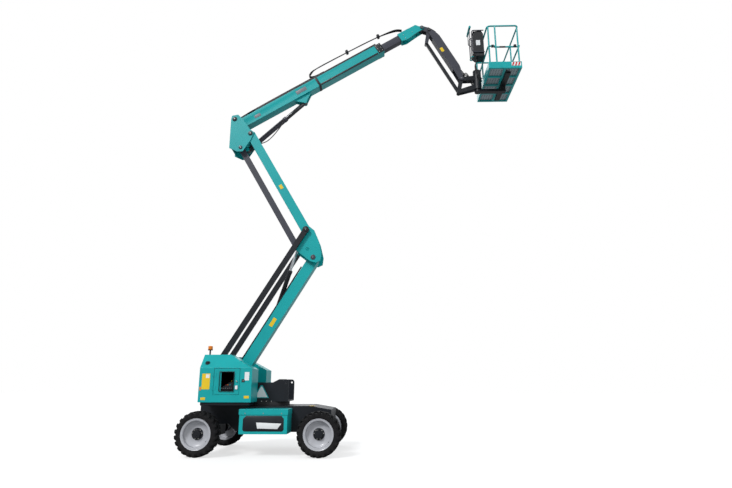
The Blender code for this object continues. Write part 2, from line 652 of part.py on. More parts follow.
def hood(label, side):
    inner, outer = HOOD_IN_Y, HOOD_OUT_Y
    wall = HOOD_WALL
    low = DECK_Z

    def shell(grow):
        """The hood's outer form, shrunk by a wall where grow is 1."""
        d = wall * grow
        section = [(outer - d, low - grow), (outer - d, HOOD_SHOULDER - d), (outer - 0.24, HOOD_TOP - d),
                   (inner + d, HOOD_TOP - d), (inner + d, low - grow)]
        turn = Matrix(((0, 0, 1, 0), (side, 0, 0, 0), (0, 1, 0, 0), (0, 0, 0, 1)))
        x0, x1 = TURRET_X0 + d, HOOD_X1 - d
        return flat(section, [], x1 - x0, Matrix.Translation(((x0 + x1) / 2, 0, 0)) @ turn)

    def slope(shift):
        """Takes off the front of the roof."""
        return side_plate([(-0.70 + shift, 2.5), (-0.70 + shift, HOOD_TOP - shift * 0.2), (-0.22 + shift, HOOD_SHOULDER),
                           (0.4, HOOD_SHOULDER - 0.34), (0.4, 2.5)], -2, 2)

    outside = fuse([shell(0)], [slope(0)])
    inside = fuse([shell(1)], [slope(-2 * wall)])
    y = sorted((side * (outer - 0.05), side * (outer + 0.05)))
    doorway = box((DOOR_X0 - DOOR_GAP, DOOR_X1 + DOOR_GAP), y, (DOOR_Z0 - DOOR_GAP, DOOR_Z1 + DOOR_GAP))
    deck_cut = box((TURRET_X0 - 1, HOOD_X1 - 0.02 + FIT_GAP), sorted((0, side * (outer - 0.02 + FIT_GAP))),
                   (0, DECK_TOP + FIT_GAP))
    finish("hood_" + label, "turret", fuse([outside], [inside, doorway, deck_cut]), TEAL)


def doors():
    for label, side in (("near", -1), ("far", 1)):
        y = sorted((side * (HOOD_OUT_Y - DOOR_T), side * HOOD_OUT_Y))
        parts = [box((DOOR_X0, DOOR_X1), y, (DOOR_Z0, DOOR_Z1))]
        hinge_h = (DOOR_Z1 - DOOR_Z0) / 6
        face = side * HOOD_OUT_Y
        for low in (DOOR_Z0 + hinge_h, DOOR_Z1 - 2 * hinge_h):
            z = (low, low + hinge_h)
            over = sorted((face + side * FIT_GAP, face + side * HINGE_R / 2))
            sunk = sorted((face - side * DOOR_T / 4, face + side * HINGE_R / 3))
            parts.append(rod((HINGE_X, side * HINGE_Y, z[0]), (HINGE_X, side * HINGE_Y, z[1]), HINGE_R, 12))
            parts.append(box((HINGE_X, DOOR_X0 + HINGE_LEAF), over, (z[0] + PIN_PROUD, z[1] - PIN_PROUD)))
            parts.append(box((DOOR_X0 + PIN_PROUD, DOOR_X0 + HINGE_LEAF - PIN_PROUD), sunk,
                             (z[0] + 2 * PIN_PROUD, z[1] - 2 * PIN_PROUD)))
        cuts = []
        if side < 0:
            cuts.append(box((PANEL_X0, PANEL_X1), (-HOOD_OUT_Y - 1, 0), (PANEL_Z0, PANEL_Z1)))
        finish("door_" + label, "door_" + label, fuse(parts, cuts), TEAL)


def turret_contents():
    y_face = -HOOD_OUT_Y + DOOR_T + PANEL_INSET
    pad = 0.03
    case = box((PANEL_X0 - pad, PANEL_X1 + pad), (y_face, -HOOD_IN_Y - HOOD_WALL - FIT_GAP),
               (PANEL_Z0 - pad, PANEL_Z1 + pad))
    recess = box((PANEL_X0, PANEL_X1), (-HOOD_OUT_Y - 1, y_face + PANEL_DEPTH), (PANEL_Z0, PANEL_Z1))
    stand = box((PANEL_X0, PANEL_X1), (-0.70, -HOOD_IN_Y - HOOD_WALL - 0.03), (DECK_TOP + FIT_GAP, PANEL_Z0))
    finish("control_panel", "turret", fuse([case, stand], [recess]), PLASTIC)
    finish("engine", "turret", box((-1.10, -0.40), (0.50, 0.86), (DECK_TOP + FIT_GAP, 1.56)), IRON)
    rear = LINK_BASE[0] - BOSS_R - FIT_GAP
    finish("counterweight", "turret", box((TURRET_X0, rear), (-HOOD_IN_Y + FIT_GAP, HOOD_IN_Y - FIT_GAP),
                                          (DECK_TOP + FIT_GAP, HOOD_TOP - 0.18)), IRON)
    ballast = box((TURRET_X0 + 0.02, PANEL_X0 - 0.06), (-HOOD_OUT_Y + 0.03, -HOOD_IN_Y - 0.02),
                  (DECK_TOP + FIT_GAP, DOOR_Z0 - 0.03))
    finish("ballast", "turret", ballast, IRON)
    top = HOOD_TOP + FIT_GAP
    lamp = turned([(0.0, 0.185), (0.036, 0.178), (0.05, 0.15), (0.05, 0.07),
                  (0.046, 0.05), (0.012, 0.05), (0.012, 0.006), (0.03, 0.006), (0.03, 0.0), (0.0, 0.0)],
                  (-1.17, -0.60, top), (0, 0, 1), 20, closed=False)
    finish("beacon", "turret", lamp, AMBER)


# ---------------------------------------------------------------------------------------------------------
# Riser stages
# ---------------------------------------------------------------------------------------------------------
def arm(start, degrees, length, depth, half_w, wall, boss_half, bore, trim, boss=BOSS_R):
    """A hollow arm with a bossed bore at each end, boss_half and bore giving the start's and the end's."""
    end = along(start, degrees, length)
    parts = [hollow(start, degrees, (-trim[0], length + trim[1]), (-depth / 2, depth / 2), half_w, wall)]
    parts.append(cross_pin(start, boss_half[0], boss))
    parts.append(cross_pin(end, boss_half[1], boss))
    cuts = [cross_pin(start, 1, bore[0] + PIN_PLAY), cross_pin(end, 1, bore[1] + PIN_PLAY)]
    return parts, cuts


def lower_riser():
    plate_in = SIDE_Y - PLATE_T / 2 - FIT_GAP
    knee_in = KNEE_Y - KNEE_T / 2 - FIT_GAP
    parts, cuts = arm(LOWER_PIN, LOWER_DEG, LOWER_LEN, LOWER_DEPTH, LOWER_W / 2, BEAM_WALL,
                      (plate_in, knee_in), (BASE_PIN_R, PIN_R), (0.02, 0.0))
    slot_half = RISER_BARREL_R + 0.02
    cuts.append(sloped(LOWER_PIN, LOWER_DEG, (RISER_CYL_ALONG - 0.09, RISER_CYL_ALONG + 0.62),
                       (RISER_CYL_UP - 0.075, LOWER_DEPTH), (-slot_half, slot_half)))
    body = fuse(parts, cuts)
    base = cross_pin(RISER_CYL_PIN, LOWER_W / 2 - 0.001, 0.028)
    finish("lower_riser", "lower_riser", fuse([body, base]), TEAL)


def lower_links():
    for label, side in (("near", -1), ("far", 1)):
        y = sorted((side * (LINK_Y - LINK_W / 2), side * (LINK_Y + LINK_W / 2)))
        bar = side_plate(hull_of_discs(LINK_BASE, KNEE_B, LINK_DEPTH / 2, LINK_DEPTH / 2), y[0], y[1])
        bosses = [stub(point, y[0], y[1], BOSS_R) for point in (LINK_BASE, KNEE_B)]
        cuts = [cross_pin(point, 1, PIN_R + PIN_PLAY) for point in (LINK_BASE, KNEE_B)]
        finish("lower_link_" + label, "lower_links", fuse([bar, *bosses], cuts), BLACK)


def knee():
    corners = [(KNEE_B, (0.062, 0.099)), (KNEE_B, (0.186, -0.001)), (KNEE_A, (0.109, 0.395)),
               (KNEE_A, (0.184, 0.087)), (KNEE_A, (0.165, -0.077)), (KNEE_A, (0.060, -0.124)),
               (KNEE_A, (-0.063, -0.089)), (KNEE_C, (-0.02, -0.085)), (KNEE_C, (-0.075, 0.01)),
               (KNEE_B, (-0.085, -0.02)), (KNEE_B, (-0.05, 0.085))]       # pin, corner from it
    outline = [shifted(point, shift) for point, shift in corners]
    hole = arc(shifted(KNEE_A, (-0.13, 0.19)), 0.045, 0, 315, 7)
    parts = []
    for side in (-1, 1):
        y = sorted((side * (KNEE_Y - KNEE_T / 2), side * (KNEE_Y + KNEE_T / 2)))
        parts.append(side_plate(outline, y[0], y[1], [hole]))
        parts.append(stub(KNEE_C, side * (EYE_HALF_W + FIT_GAP), side * KNEE_Y, PIN_R))
    parts.append(cross_pin(KNEE_A, KNEE_Y + KNEE_T / 2 + PIN_PROUD, PIN_R))
    parts.append(cross_pin(KNEE_B, LINK_Y + LINK_W / 2 + PIN_PROUD, PIN_R))
    parts.append(cross_pin(shifted(KNEE_A, (0.075, 0.281)), KNEE_Y, 0.03))
    finish("knee", "knee", fuse(parts), TEAL)


def upper_riser():
    knee_in = KNEE_Y - KNEE_T / 2 - FIT_GAP
    half = UPPER_TUBE_W / 2
    parts = []
    cuts = [cross_pin(KNEE_B, 1, PIN_R + PIN_PLAY), cross_pin(HEAD_D, 1, PIN_R + PIN_PLAY)]
    depth = UPPER_DEPTH / 2
    for side in (-1, 1):
        y = (side * UPPER_TUBE_Y - half, side * UPPER_TUBE_Y + half)
        outer = sloped(KNEE_B, UPPER_DEG, (0.0, UPPER_LEN), (-depth, depth), y)
        inner = sloped(KNEE_B, UPPER_DEG, (-1, UPPER_LEN + 1), (BEAM_WALL - depth, depth - BEAM_WALL),
                       (y[0] + BEAM_WALL, y[1] - BEAM_WALL))
        tube = boolean(outer, inner, "DIFFERENCE")
        limits = sorted((side * (UPPER_TUBE_Y - half), side * knee_in))
        tube = fuse([tube, stub(KNEE_B, *limits, BOSS_R), stub(HEAD_D, *limits, BOSS_R)])
        parts.append(tube)
    for reach in (0.35, UPPER_LEN * 0.4, UPPER_LEN - 0.62):       # clear of the lift lug when stowed
        place = along(KNEE_B, UPPER_DEG, reach, -depth + 0.045)
        parts.append(cross_pin(place, UPPER_TUBE_Y - half + 0.004, 0.03, 12))
    finish("upper_riser", "upper_riser", fuse(parts, cuts), TEAL)


def upper_link():
    parts = []
    for side in (-1, 1):
        y = sorted((side * (STAY_Y - STAY_W / 2), side * (STAY_Y + STAY_W / 2)))
        parts.append(side_plate(hull_of_discs(KNEE_C, HEAD_E, STAY_DEPTH / 2, STAY_DEPTH / 2), y[0], y[1]))
    for reach in (0.62, UPPER_LEN * 0.5, UPPER_LEN - 0.62):
        parts.append(cross_pin(along(KNEE_C, UPPER_DEG, reach), STAY_Y - STAY_W / 2 + 0.004, 0.03, 12))
    cuts = [cross_pin(point, 1, PIN_R + PIN_PLAY) for point in (KNEE_C, HEAD_E)]
    finish("upper_link", "upper_link", fuse(parts, cuts), BLACK)


def boom_carrier():
    corners = [(BOOM_PIN, (-0.090, -0.003)), (BOOM_PIN, (-0.071, 0.090)), (BOOM_PIN, (0.073, 0.120)),
               (BOOM_PIN, (0.173, 0.020)), (HEAD_D, (-0.017, 0.110)), (HEAD_D, (0.085, 0.033)),
               (HEAD_D, (0.012, -0.166)), (HEAD_E, (0.075, -0.059)), (HEAD_E, (0.049, -0.099)),
               (HEAD_E, (-0.081, -0.099)), (HEAD_E, (-0.271, -0.009))]    # pin, corner from it
    outline = [shifted(point, shift) for point, shift in corners]
    parts = []
    for side in (-1, 1):
        y = sorted((side * (KNEE_Y - KNEE_T / 2), side * (KNEE_Y + KNEE_T / 2)))
        parts.append(side_plate(outline, y[0], y[1]))
        lug = sorted((side * (LIFT_BARREL_R + 0.004), side * (STAY_Y - STAY_W / 2 - 0.004)))
        parts.append(side_plate(hull_of_discs(HEAD_E, LIFT_PIN, 0.055, 0.045), lug[0], lug[1]))
        proud = side * (KNEE_Y + KNEE_T / 2 + PIN_PROUD)
        parts.append(stub(HEAD_D, side * (UPPER_TUBE_Y - UPPER_TUBE_W / 2 - PIN_PROUD), proud, PIN_R))
    for point in (HEAD_E, BOOM_PIN):
        parts.append(cross_pin(point, KNEE_Y + KNEE_T / 2 + PIN_PROUD, PIN_R))
    parts.append(cross_pin(LIFT_PIN, STAY_Y - STAY_W / 2 - 0.008, 0.025))
    rear = HEAD_E[0] - 0.265
    parts.append(box((rear, rear + KNEE_T), (-KNEE_Y, KNEE_Y), (HEAD_E[1] + 0.04, BOOM_PIN[1] - 0.15)))
    finish("boom_carrier", "boom_carrier", fuse(parts, solver="MANIFOLD"), TEAL)


def cylinder(names, bodies, base, eye, barrel_r, rod_r, base_r, barrel_len, stroke_in):
    """A hydraulic cylinder: a hollow barrel with a base eye, and a rod whose eye is open to its pin."""
    base_half = barrel_r - 0.004
    lean = math.degrees(math.atan2(eye[1] - base[1], eye[0] - base[0]))
    length = math.hypot(eye[0] - base[0], eye[1] - base[1])

    def at(distance):
        x, z = along(base, lean, distance)
        return (x, 0, z)

    barrel = [rod(at(base_r + 0.012), at(barrel_len), barrel_r), cross_pin(base, base_half, base_r + 0.02)]
    bores = [rod(at(base_r + 0.07), at(barrel_len + 1), rod_r + PIN_PLAY), cross_pin(base, 1, base_r + PIN_PLAY)]
    finish(names[0], bodies[0], fuse(barrel, bores), BLACK)
    stem = rod(at(base_r + 0.09 + stroke_in), at(length), rod_r)
    head = cross_pin(eye, EYE_HALF_W, rod_r + EYE_RIM)
    finish(names[1], bodies[1], fuse([stem, head]), CHROME)


# ---------------------------------------------------------------------------------------------------------
# Main boom and jib
# ---------------------------------------------------------------------------------------------------------
def main_boom():
    rise = (BOOM_TOP - BOOM_DEPTH, BOOM_TOP)
    half = BOOM_W / 2
    carrier_in = KNEE_Y - KNEE_T / 2 - FIT_GAP
    parts = [hollow(BOOM_PIN, BOOM_DEG, (-0.03, BOOM_LEN), rise, half, BOOM_WALL),
             cross_pin(BOOM_PIN, carrier_in, 0.06)]
    for side in (-1, 1):
        y = sorted((side * (EYE_HALF_W + FIT_GAP), side * (EYE_HALF_W + 0.03)))
        low = rise[0] + 0.003
        lug = [along(BOOM_PIN, BOOM_DEG, LIFT_EYE[0] - 0.22, low), along(BOOM_PIN, BOOM_DEG, LIFT_EYE[0] + 0.27, low),
               *arc(LIFT_ROD_PIN, 0.05, BOOM_DEG - 20, BOOM_DEG - 160, 5)]
        parts.append(side_plate(lug, y[0], y[1]))
    cuts = [cross_pin(BOOM_PIN, 1, PIN_R + PIN_PLAY)]
    finish("outer_boom", "boom", fuse(parts, cuts), TEAL)
    track = sloped(BOOM_PIN, BOOM_DEG, (0.55, BOOM_LEN - 0.10), (BOOM_TOP + FIT_GAP, BOOM_TOP + 0.05),
                   (-half + 0.01, -half + 0.11))
    finish("cable_track", "boom", track, PLASTIC)

    drop = BOOM_WALL + INNER_DROP
    inner_rise = (rise[0] + drop, rise[1] - drop)
    inner_half = half - drop
    start = BOOM_LEN - INNER_INSIDE
    tube = hollow(BOOM_PIN, BOOM_DEG, (start, BOOM_LEN + INNER_OUT), inner_rise, inner_half, BOOM_WALL)
    pads = []
    for reach in (start + 0.02, BOOM_LEN - 0.14):
        ring = sloped(BOOM_PIN, BOOM_DEG, (reach, reach + 0.10),
                      (rise[0] + BOOM_WALL + FIT_GAP, rise[1] - BOOM_WALL - FIT_GAP),
                      (BOOM_WALL + FIT_GAP - half, half - BOOM_WALL - FIT_GAP))
        core = sloped(BOOM_PIN, BOOM_DEG, (reach - 1, reach + 1),
                      (inner_rise[0] + 0.002, inner_rise[1] - 0.002), (0.002 - inner_half, inner_half - 0.002))
        pads.append(boolean(ring, core, "DIFFERENCE"))
    finish("inner_boom", "extension", fuse([tube, *pads]), GREY)

    end = BOOM_LEN + INNER_OUT + FIT_GAP
    lap = 0.004         # the end plate stands this far inside the side plates' edges
    outline = [along(BOOM_PIN, BOOM_DEG, u, v) for u, v in
               ((end + lap, rise[0] + 0.01), (end + lap, rise[1] - 0.01), (HEAD_PIN[0] - 0.10, 0.0), (HEAD_PIN[0] - 0.04, -0.09),
                (HEAD_PIN[0] - 0.06, -0.20), (end + 0.14, rise[0] - 0.02))]
    head_w = TIP_W / 2
    plates = []
    for side in (-1, 1):
        y = sorted((side * (head_w - 0.018), side * head_w))
        plates.append(side_plate(outline, y[0], y[1]))
        plates.append(side_plate(hull_of_discs(along(BOOM_PIN, BOOM_DEG, end + 0.25, -0.13), TIP_PIN, 0.09, 0.055),
                                 *thinner(y)))
    back = sloped(BOOM_PIN, BOOM_DEG, (end, end + 0.02), (rise[0] + 0.01 + lap, rise[1] - 0.01 - lap),
                  (lap - head_w, head_w - lap))
    pin = cross_pin(TIP_PIN, head_w + 0.012, 0.03)
    finish("boom_head", "extension", fuse([back, *plates, pin]), TEAL)


def jib_parts():
    inside = TIP_W / 2 - 0.018 - SIDE_PLAY
    outline = [*hull_of_discs(TIP_PIN, JIB_TOP, 0.06, 0.065)]
    lower = hull_of_discs(JIB_TOP, JIB_LINK_TOP, 0.05, 0.04)
    parts = []
    for side in (-1, 1):
        y = sorted((side * (inside - 0.018), side * inside))
        parts.append(side_plate(outline, y[0], y[1]))
        parts.append(side_plate(lower, *thinner(y)))
    parts.append(cross_pin(TIP_PIN, inside + 0.003, 0.048))
    parts.append(cross_pin(JIB_TOP, JIB_W / 2 + 0.012, 0.028))
    parts.append(cross_pin(JIB_LINK_TOP, inside - 0.004, 0.02))
    cuts = [cross_pin(TIP_PIN, 1, 0.03 + PIN_PLAY)]
    finish("jib_head", "jib_head", fuse(parts, cuts, "MANIFOLD"), GREY)

    half = JIB_W / 2
    wall = 0.006
    drop = 0.05                 # the tube's underside below the pin line
    low_end = JIB_LEN - JIB_END_TRIM
    tube = hollow(JIB_TOP, JIB_DEG, (JIB_START_TRIM, low_end), (-drop, JIB_DEPTH - drop), half, wall)
    ear_r = JIB_DEPTH / 2 - 0.005
    ears = []
    for side in (-1, 1):
        y = sorted((side * (inside + SIDE_PLAY), side * half))
        for pin, lap in ((JIB_TOP, JIB_START_TRIM + JIB_EAR_LAP - ear_r), (JIB_END, low_end - JIB_EAR_LAP + ear_r)):
            inner = along(JIB_TOP, JIB_DEG, lap, JIB_DEPTH / 2 - drop)
            ears.append(side_plate(hull_of_discs(pin, inner, 0.055, ear_r), *thinner(y)))
    cuts = [cross_pin(JIB_TOP, 1, 0.028 + PIN_PLAY), cross_pin(JIB_END, 1, 0.028 + PIN_PLAY)]
    finish("jib", "jib", fuse([tube, *ears], cuts, "MANIFOLD"), GREY)

    bar = side_plate(hull_of_discs(JIB_LINK_TOP, JIB_LINK_END, 0.036, 0.036), -0.03, 0.03)
    cuts = [cross_pin(point, 1, 0.02 + PIN_PLAY) for point in (JIB_LINK_TOP, JIB_LINK_END)]
    finish("jib_link", "jib_link", fuse([bar], cuts), BLACK)

    post_low = JIB_END[1] - POST_DROP + 0.02
    parts = []
    for side in (-1, 1):
        y = sorted((side * (inside - 0.018), side * inside))
        parts.append(side_plate(hull_of_discs(JIB_END, JIB_LINK_END, 0.05, 0.045), y[0], y[1]))
        parts.append(side_plate(hull_of_discs(JIB_END, (POST_AXIS - 0.09, JIB_END[1] + 0.02), 0.047, 0.06),
                                *thinner(y)))
        parts.append(side_plate(hull_of_discs(JIB_LINK_END, (POST_AXIS - 0.06, post_low + 0.065), 0.042, 0.06),
                                *thinner(y, 0.002)))
    parts.append(cross_pin(JIB_END, JIB_W / 2 + 0.012, 0.028))
    parts.append(cross_pin(JIB_LINK_END, inside - 0.004, 0.02))
    parts.append(rod((POST_AXIS, 0, post_low), (POST_AXIS, 0, JIB_END[1] + POST_RISE), POST_R))
    finish("platform_bracket", "platform_bracket", fuse(parts, solver="MANIFOLD"), BLACK)


# ---------------------------------------------------------------------------------------------------------
# Platform
# ---------------------------------------------------------------------------------------------------------
def basket():
    half = BASKET_W / 2
    x0, x1 = BASKET_X0, BASKET_X1
    low = FLOOR_LOW
    top = low + FLOOR_T
    bottom = JIB_END[1] - POST_DROP
    under = low - FIT_GAP
    foot = rod((POST_AXIS, 0, bottom - 0.05), (POST_AXIS, 0, bottom + 0.02 - FIT_GAP), POST_R - 0.02)
    beam = box((POST_AXIS, x0 + 0.52), (-0.06, 0.06), (bottom - 0.05, bottom + 0.02 - FIT_GAP))
    riser = box((x0 + 0.42, x0 + 0.54), (-0.06, 0.06), (bottom - 0.05, under))
    cross = box((x0 + 0.42, x0 + 0.54), (-half + 0.15, half - 0.15), (under - 0.05, under))
    finish("basket_support", "basket", fuse([foot, beam, riser, cross]), BLACK)

    bar = 0.05
    holes = []
    columns, rows = 2, 4
    cell_x = (BASKET_L - bar * (columns + 1)) / columns
    cell_y = (BASKET_W - bar * (rows + 1)) / rows
    for i in range(columns):
        for j in range(rows):
            a = x0 + bar + i * (cell_x + bar)
            b = -half + bar + j * (cell_y + bar)
            holes.append([(a, b), (a + cell_x, b), (a + cell_x, b + cell_y), (a, b + cell_y)])
    outer = [(x0, -half), (x1, -half), (x1, half), (x0, half)]
    grid = plan_plate(outer, low, top, holes)
    plate = [(x0 + DECK_INSET, DECK_INSET - half), (x1 - DECK_INSET, DECK_INSET - half),
             (x1 - DECK_INSET, half - DECK_INSET), (x0 + DECK_INSET, half - DECK_INSET)]
    deck = plan_plate(plate, top - 2 * DECK_STEP, top + DECK_STEP)
    finish("floor", "basket", fuse([grid, deck]), TEAL)

    t = TOE_T
    inset = [(x0 + t, -half + t), (x1 - t, -half + t), (x1 - t, half - t), (x0 + t, half - t)]
    finish("toe_board", "basket", plan_plate(outer, top + FIT_GAP, top + TOE_H, [inset]), TEAL)

    a0, a1, b0, b1 = x0 + RAIL_IN, x1 - RAIL_IN, RAIL_IN - half, half - RAIL_IN
    rail_z = low + RAIL_H - RAIL_R
    mid_z = low + MID_RAIL_H
    gate = x0 + GATE_POST
    parts = [pipe([(a0, b0, rail_z), (a1, b0, rail_z), (a1, b1, rail_z), (a0, b1, rail_z)], RAIL_R, True)]
    parts.append(pipe([(gate, b0, mid_z), (a0, b0, mid_z), (a0, b1, mid_z), (a1, b1, mid_z), (a1, b0, mid_z)],
                      RAIL_R, False))
    foot_z = top + FIT_GAP
    posts = [(a0, b0), (gate, b0), (a1, b0), (a0, 0), (a1, 0), (a0, b1), (a1, b1), ((a0 + a1) / 2, b1)]
    for x, y in posts:
        parts.append(rod((x, y, foot_z), (x, y, rail_z), RAIL_R, PIPE_SIDES))
    finish("guard_rail", "basket", fuse(parts), TEAL)

    bar_y = b0 + 2 * RAIL_R + FIT_GAP
    rail = pipe([(gate - 0.03, bar_y, mid_z), (a1 - RAIL_R - FIT_GAP, bar_y, mid_z)], RAIL_R, False)
    finish("entry_bar", "entry_bar", rail, TEAL)

    # console against the outside of the rails on the inner side
    front = a0 - RAIL_R - FIT_GAP
    back = front - CONSOLE_DEPTH
    c0, c1 = low + CONSOLE_Z[0], low + CONSOLE_Z[1]
    body = side_plate([(front, c0), (front, c1 - 0.10), (front - 0.05, c1), (back + 0.07, c1 - 0.02),
                       (back, c1 - 0.14), (back, c0 + 0.08), (back + 0.07, c0)], *CONSOLE_Y)
    finish("console", "basket", body, PLASTIC)


make_empties()
chassis_frame()
side_box("near", -1)
side_box("far", 1)
axles()
for wheel_body in ("wheel_steer_near", "wheel_steer_far", "wheel_fixed_near", "wheel_fixed_far"):
    wheel(wheel_body)
slew_ring()
turret_frame()
hood("near", -1)
hood("far", 1)
doors()
turret_contents()
lower_riser()
lower_links()
knee()
upper_riser()
upper_link()
boom_carrier()
cylinder(("riser_cylinder_barrel", "riser_cylinder_rod"), ("riser_barrel", "riser_rod"), RISER_CYL_PIN, KNEE_C,
         RISER_BARREL_R, RISER_ROD_R, 0.028, RISER_BARREL_LEN, RISER_STROKE_IN)
cylinder(("lift_cylinder_barrel", "lift_cylinder_rod"), ("lift_barrel", "lift_rod"), LIFT_PIN, LIFT_ROD_PIN,
         LIFT_BARREL_R, LIFT_ROD_R, 0.025, LIFT_BARREL_LEN, LIFT_STROKE_IN)
main_boom()
jib_parts()
basket()
bpy.data.collections.remove(WORK)
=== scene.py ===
"""Looks for the articulating boom lift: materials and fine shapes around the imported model.

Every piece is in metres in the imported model's frame: +X towards the platform, +Z up, the near side at -Y.
"""

import json
import math

import bmesh
import bpy
from mathutils import Matrix, Vector
from mathutils.bvhtree import BVHTree


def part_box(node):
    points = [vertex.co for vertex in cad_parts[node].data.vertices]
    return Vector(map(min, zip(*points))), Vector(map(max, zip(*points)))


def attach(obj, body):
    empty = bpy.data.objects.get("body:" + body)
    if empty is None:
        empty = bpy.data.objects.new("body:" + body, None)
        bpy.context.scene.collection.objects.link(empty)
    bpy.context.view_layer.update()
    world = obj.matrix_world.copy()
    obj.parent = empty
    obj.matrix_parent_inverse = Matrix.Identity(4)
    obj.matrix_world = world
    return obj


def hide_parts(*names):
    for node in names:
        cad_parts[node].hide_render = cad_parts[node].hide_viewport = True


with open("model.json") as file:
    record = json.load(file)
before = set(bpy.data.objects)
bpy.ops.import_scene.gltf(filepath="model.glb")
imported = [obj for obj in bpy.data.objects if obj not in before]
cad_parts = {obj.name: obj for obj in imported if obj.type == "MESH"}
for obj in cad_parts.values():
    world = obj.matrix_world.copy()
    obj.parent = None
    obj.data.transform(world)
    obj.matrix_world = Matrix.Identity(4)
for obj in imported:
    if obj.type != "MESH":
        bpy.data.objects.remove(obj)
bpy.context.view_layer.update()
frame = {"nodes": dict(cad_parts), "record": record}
NODES = frame["nodes"]
RECORD = frame["record"]
BODY_OF = {node: body for body, nodes in RECORD["behaviour"]["bodies"].items() for node in nodes}
JOINTS = {joint["name"]: joint for joint in RECORD["behaviour"]["joints"]}
SLOT_OF = {part["node"]: part["material_slot"] for part in RECORD["subparts"]}
scene = bpy.context.scene


def pin(joint):
    """A joint's place at rest."""
    return Vector(JOINTS[joint]["pos_m"])


def limits(node):
    low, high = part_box(node)
    return Vector(low), Vector(high)


LOWER_PIN, KNEE_A = pin("riser_lift"), pin("knee_level")
LINK_BASE, KNEE_B = pin("lower_link_swing"), pin("upper_riser_swing")
KNEE_C, HEAD_D = pin("upper_link_swing"), pin("boom_carrier_level")
HEAD_E = KNEE_C + HEAD_D - KNEE_B
BOOM_PIN, LIFT_PIN, TIP_PIN = pin("boom_lift"), pin("lift_barrel_swing"), pin("jib_head_level")
JIB_TOP, JIB_END, POST = pin("jib_lift"), pin("platform_level"), pin("platform_rotate")
STRAIGHT_UP = Vector((0, 0, 1))


# ---------------------------------------------------------------------------------------------------------
# Camera, light and floor
# ---------------------------------------------------------------------------------------------------------
WHEEL_MID_X = (pin("spin_steer_near").x + pin("spin_fixed_near").x) / 2
camera_data = bpy.data.cameras.new("camera")
camera_data.sensor_width = 36.0
camera_data.lens = 25.89
camera = bpy.data.objects.new("camera", camera_data)
scene.collection.objects.link(camera)
camera.location = (WHEEL_MID_X + 2.343, -11.634, 1.363)
camera.rotation_euler = (math.radians(90 + 14.816), 0, math.radians(1.4725))
scene.camera = camera
scene.view_settings.view_transform = "Standard"


def lamp(name, kind, energy, angles, **settings):
    data = bpy.data.lights.new(name, kind)
    data.energy = energy
    for key, value in settings.items():
        setattr(data, key, value)
    made = bpy.data.objects.new(name, data)
    made.rotation_euler = [math.radians(angle) for angle in angles]
    scene.collection.objects.link(made)
    return made


lamp("key", "SUN", 2.3, (50, 0, -30), angle=math.radians(16))
lamp("fill", "SUN", 0.7, (68, 0, 42), angle=math.radians(40))
lamp("back", "SUN", 0.8, (-55, 0, 15), angle=math.radians(40))


def world_light():
    world = bpy.data.worlds.new("studio")
    scene.world = world
    world.use_nodes = True
    tree = world.node_tree
    tree.nodes.clear()
    out = tree.nodes.new("ShaderNodeOutputWorld")
    mix = tree.nodes.new("ShaderNodeMixShader")
    seen = tree.nodes.new("ShaderNodeBackground")
    seen.inputs["Color"].default_value = (1, 1, 1, 1)
    light = tree.nodes.new("ShaderNodeBackground")
    light.inputs["Color"].default_value = (0.93, 0.96, 1.0, 1)
    light.inputs["Strength"].default_value = 0.50
    path = tree.nodes.new("ShaderNodeLightPath")
    tree.links.new(path.outputs["Is Camera Ray"], mix.inputs["Fac"])
    tree.links.new(light.outputs[0], mix.inputs[1])
    tree.links.new(seen.outputs[0], mix.inputs[2])
    tree.links.new(mix.outputs[0], out.inputs["Surface"])


def floor():
    mesh = bpy.data.meshes.new("floor")
    shape = bmesh.new()
    bmesh.ops.create_grid(shape, x_segments=1, y_segments=1, size=60)
    shape.to_mesh(mesh)
    shape.free()
    made = bpy.data.objects.new("ground", mesh)
    scene.collection.objects.link(made)
    made.location.z = -0.002
    paint = bpy.data.materials.new("ground")
    paint.use_nodes = True
    tree = paint.node_tree
    tree.nodes.clear()
    out = tree.nodes.new("ShaderNodeOutputMaterial")
    diffuse = tree.nodes.new("ShaderNodeBsdfDiffuse")
    diffuse.inputs["Color"].default_value = (0.36, 0.36, 0.36, 1)
    glow = tree.nodes.new("ShaderNodeEmission")
    glow.inputs["Color"].default_value = (1, 1, 1, 1)
    path = tree.nodes.new("ShaderNodeLightPath")
    level = tree.nodes.new("ShaderNodeMath")
    level.operation = "MULTIPLY"
    level.inputs[1].default_value = 0.66
    both = tree.nodes.new("ShaderNodeAddShader")
    tree.links.new(path.outputs["Is Camera Ray"], level.inputs[0])
    tree.links.new(level.outputs[0], glow.inputs["Strength"])
    tree.links.new(diffuse.outputs[0], both.inputs[0])
    tree.links.new(glow.outputs[0], both.inputs[1])
    tree.links.new(both.outputs[0], out.inputs["Surface"])
    mesh.materials.append(paint)


world_light()
floor()


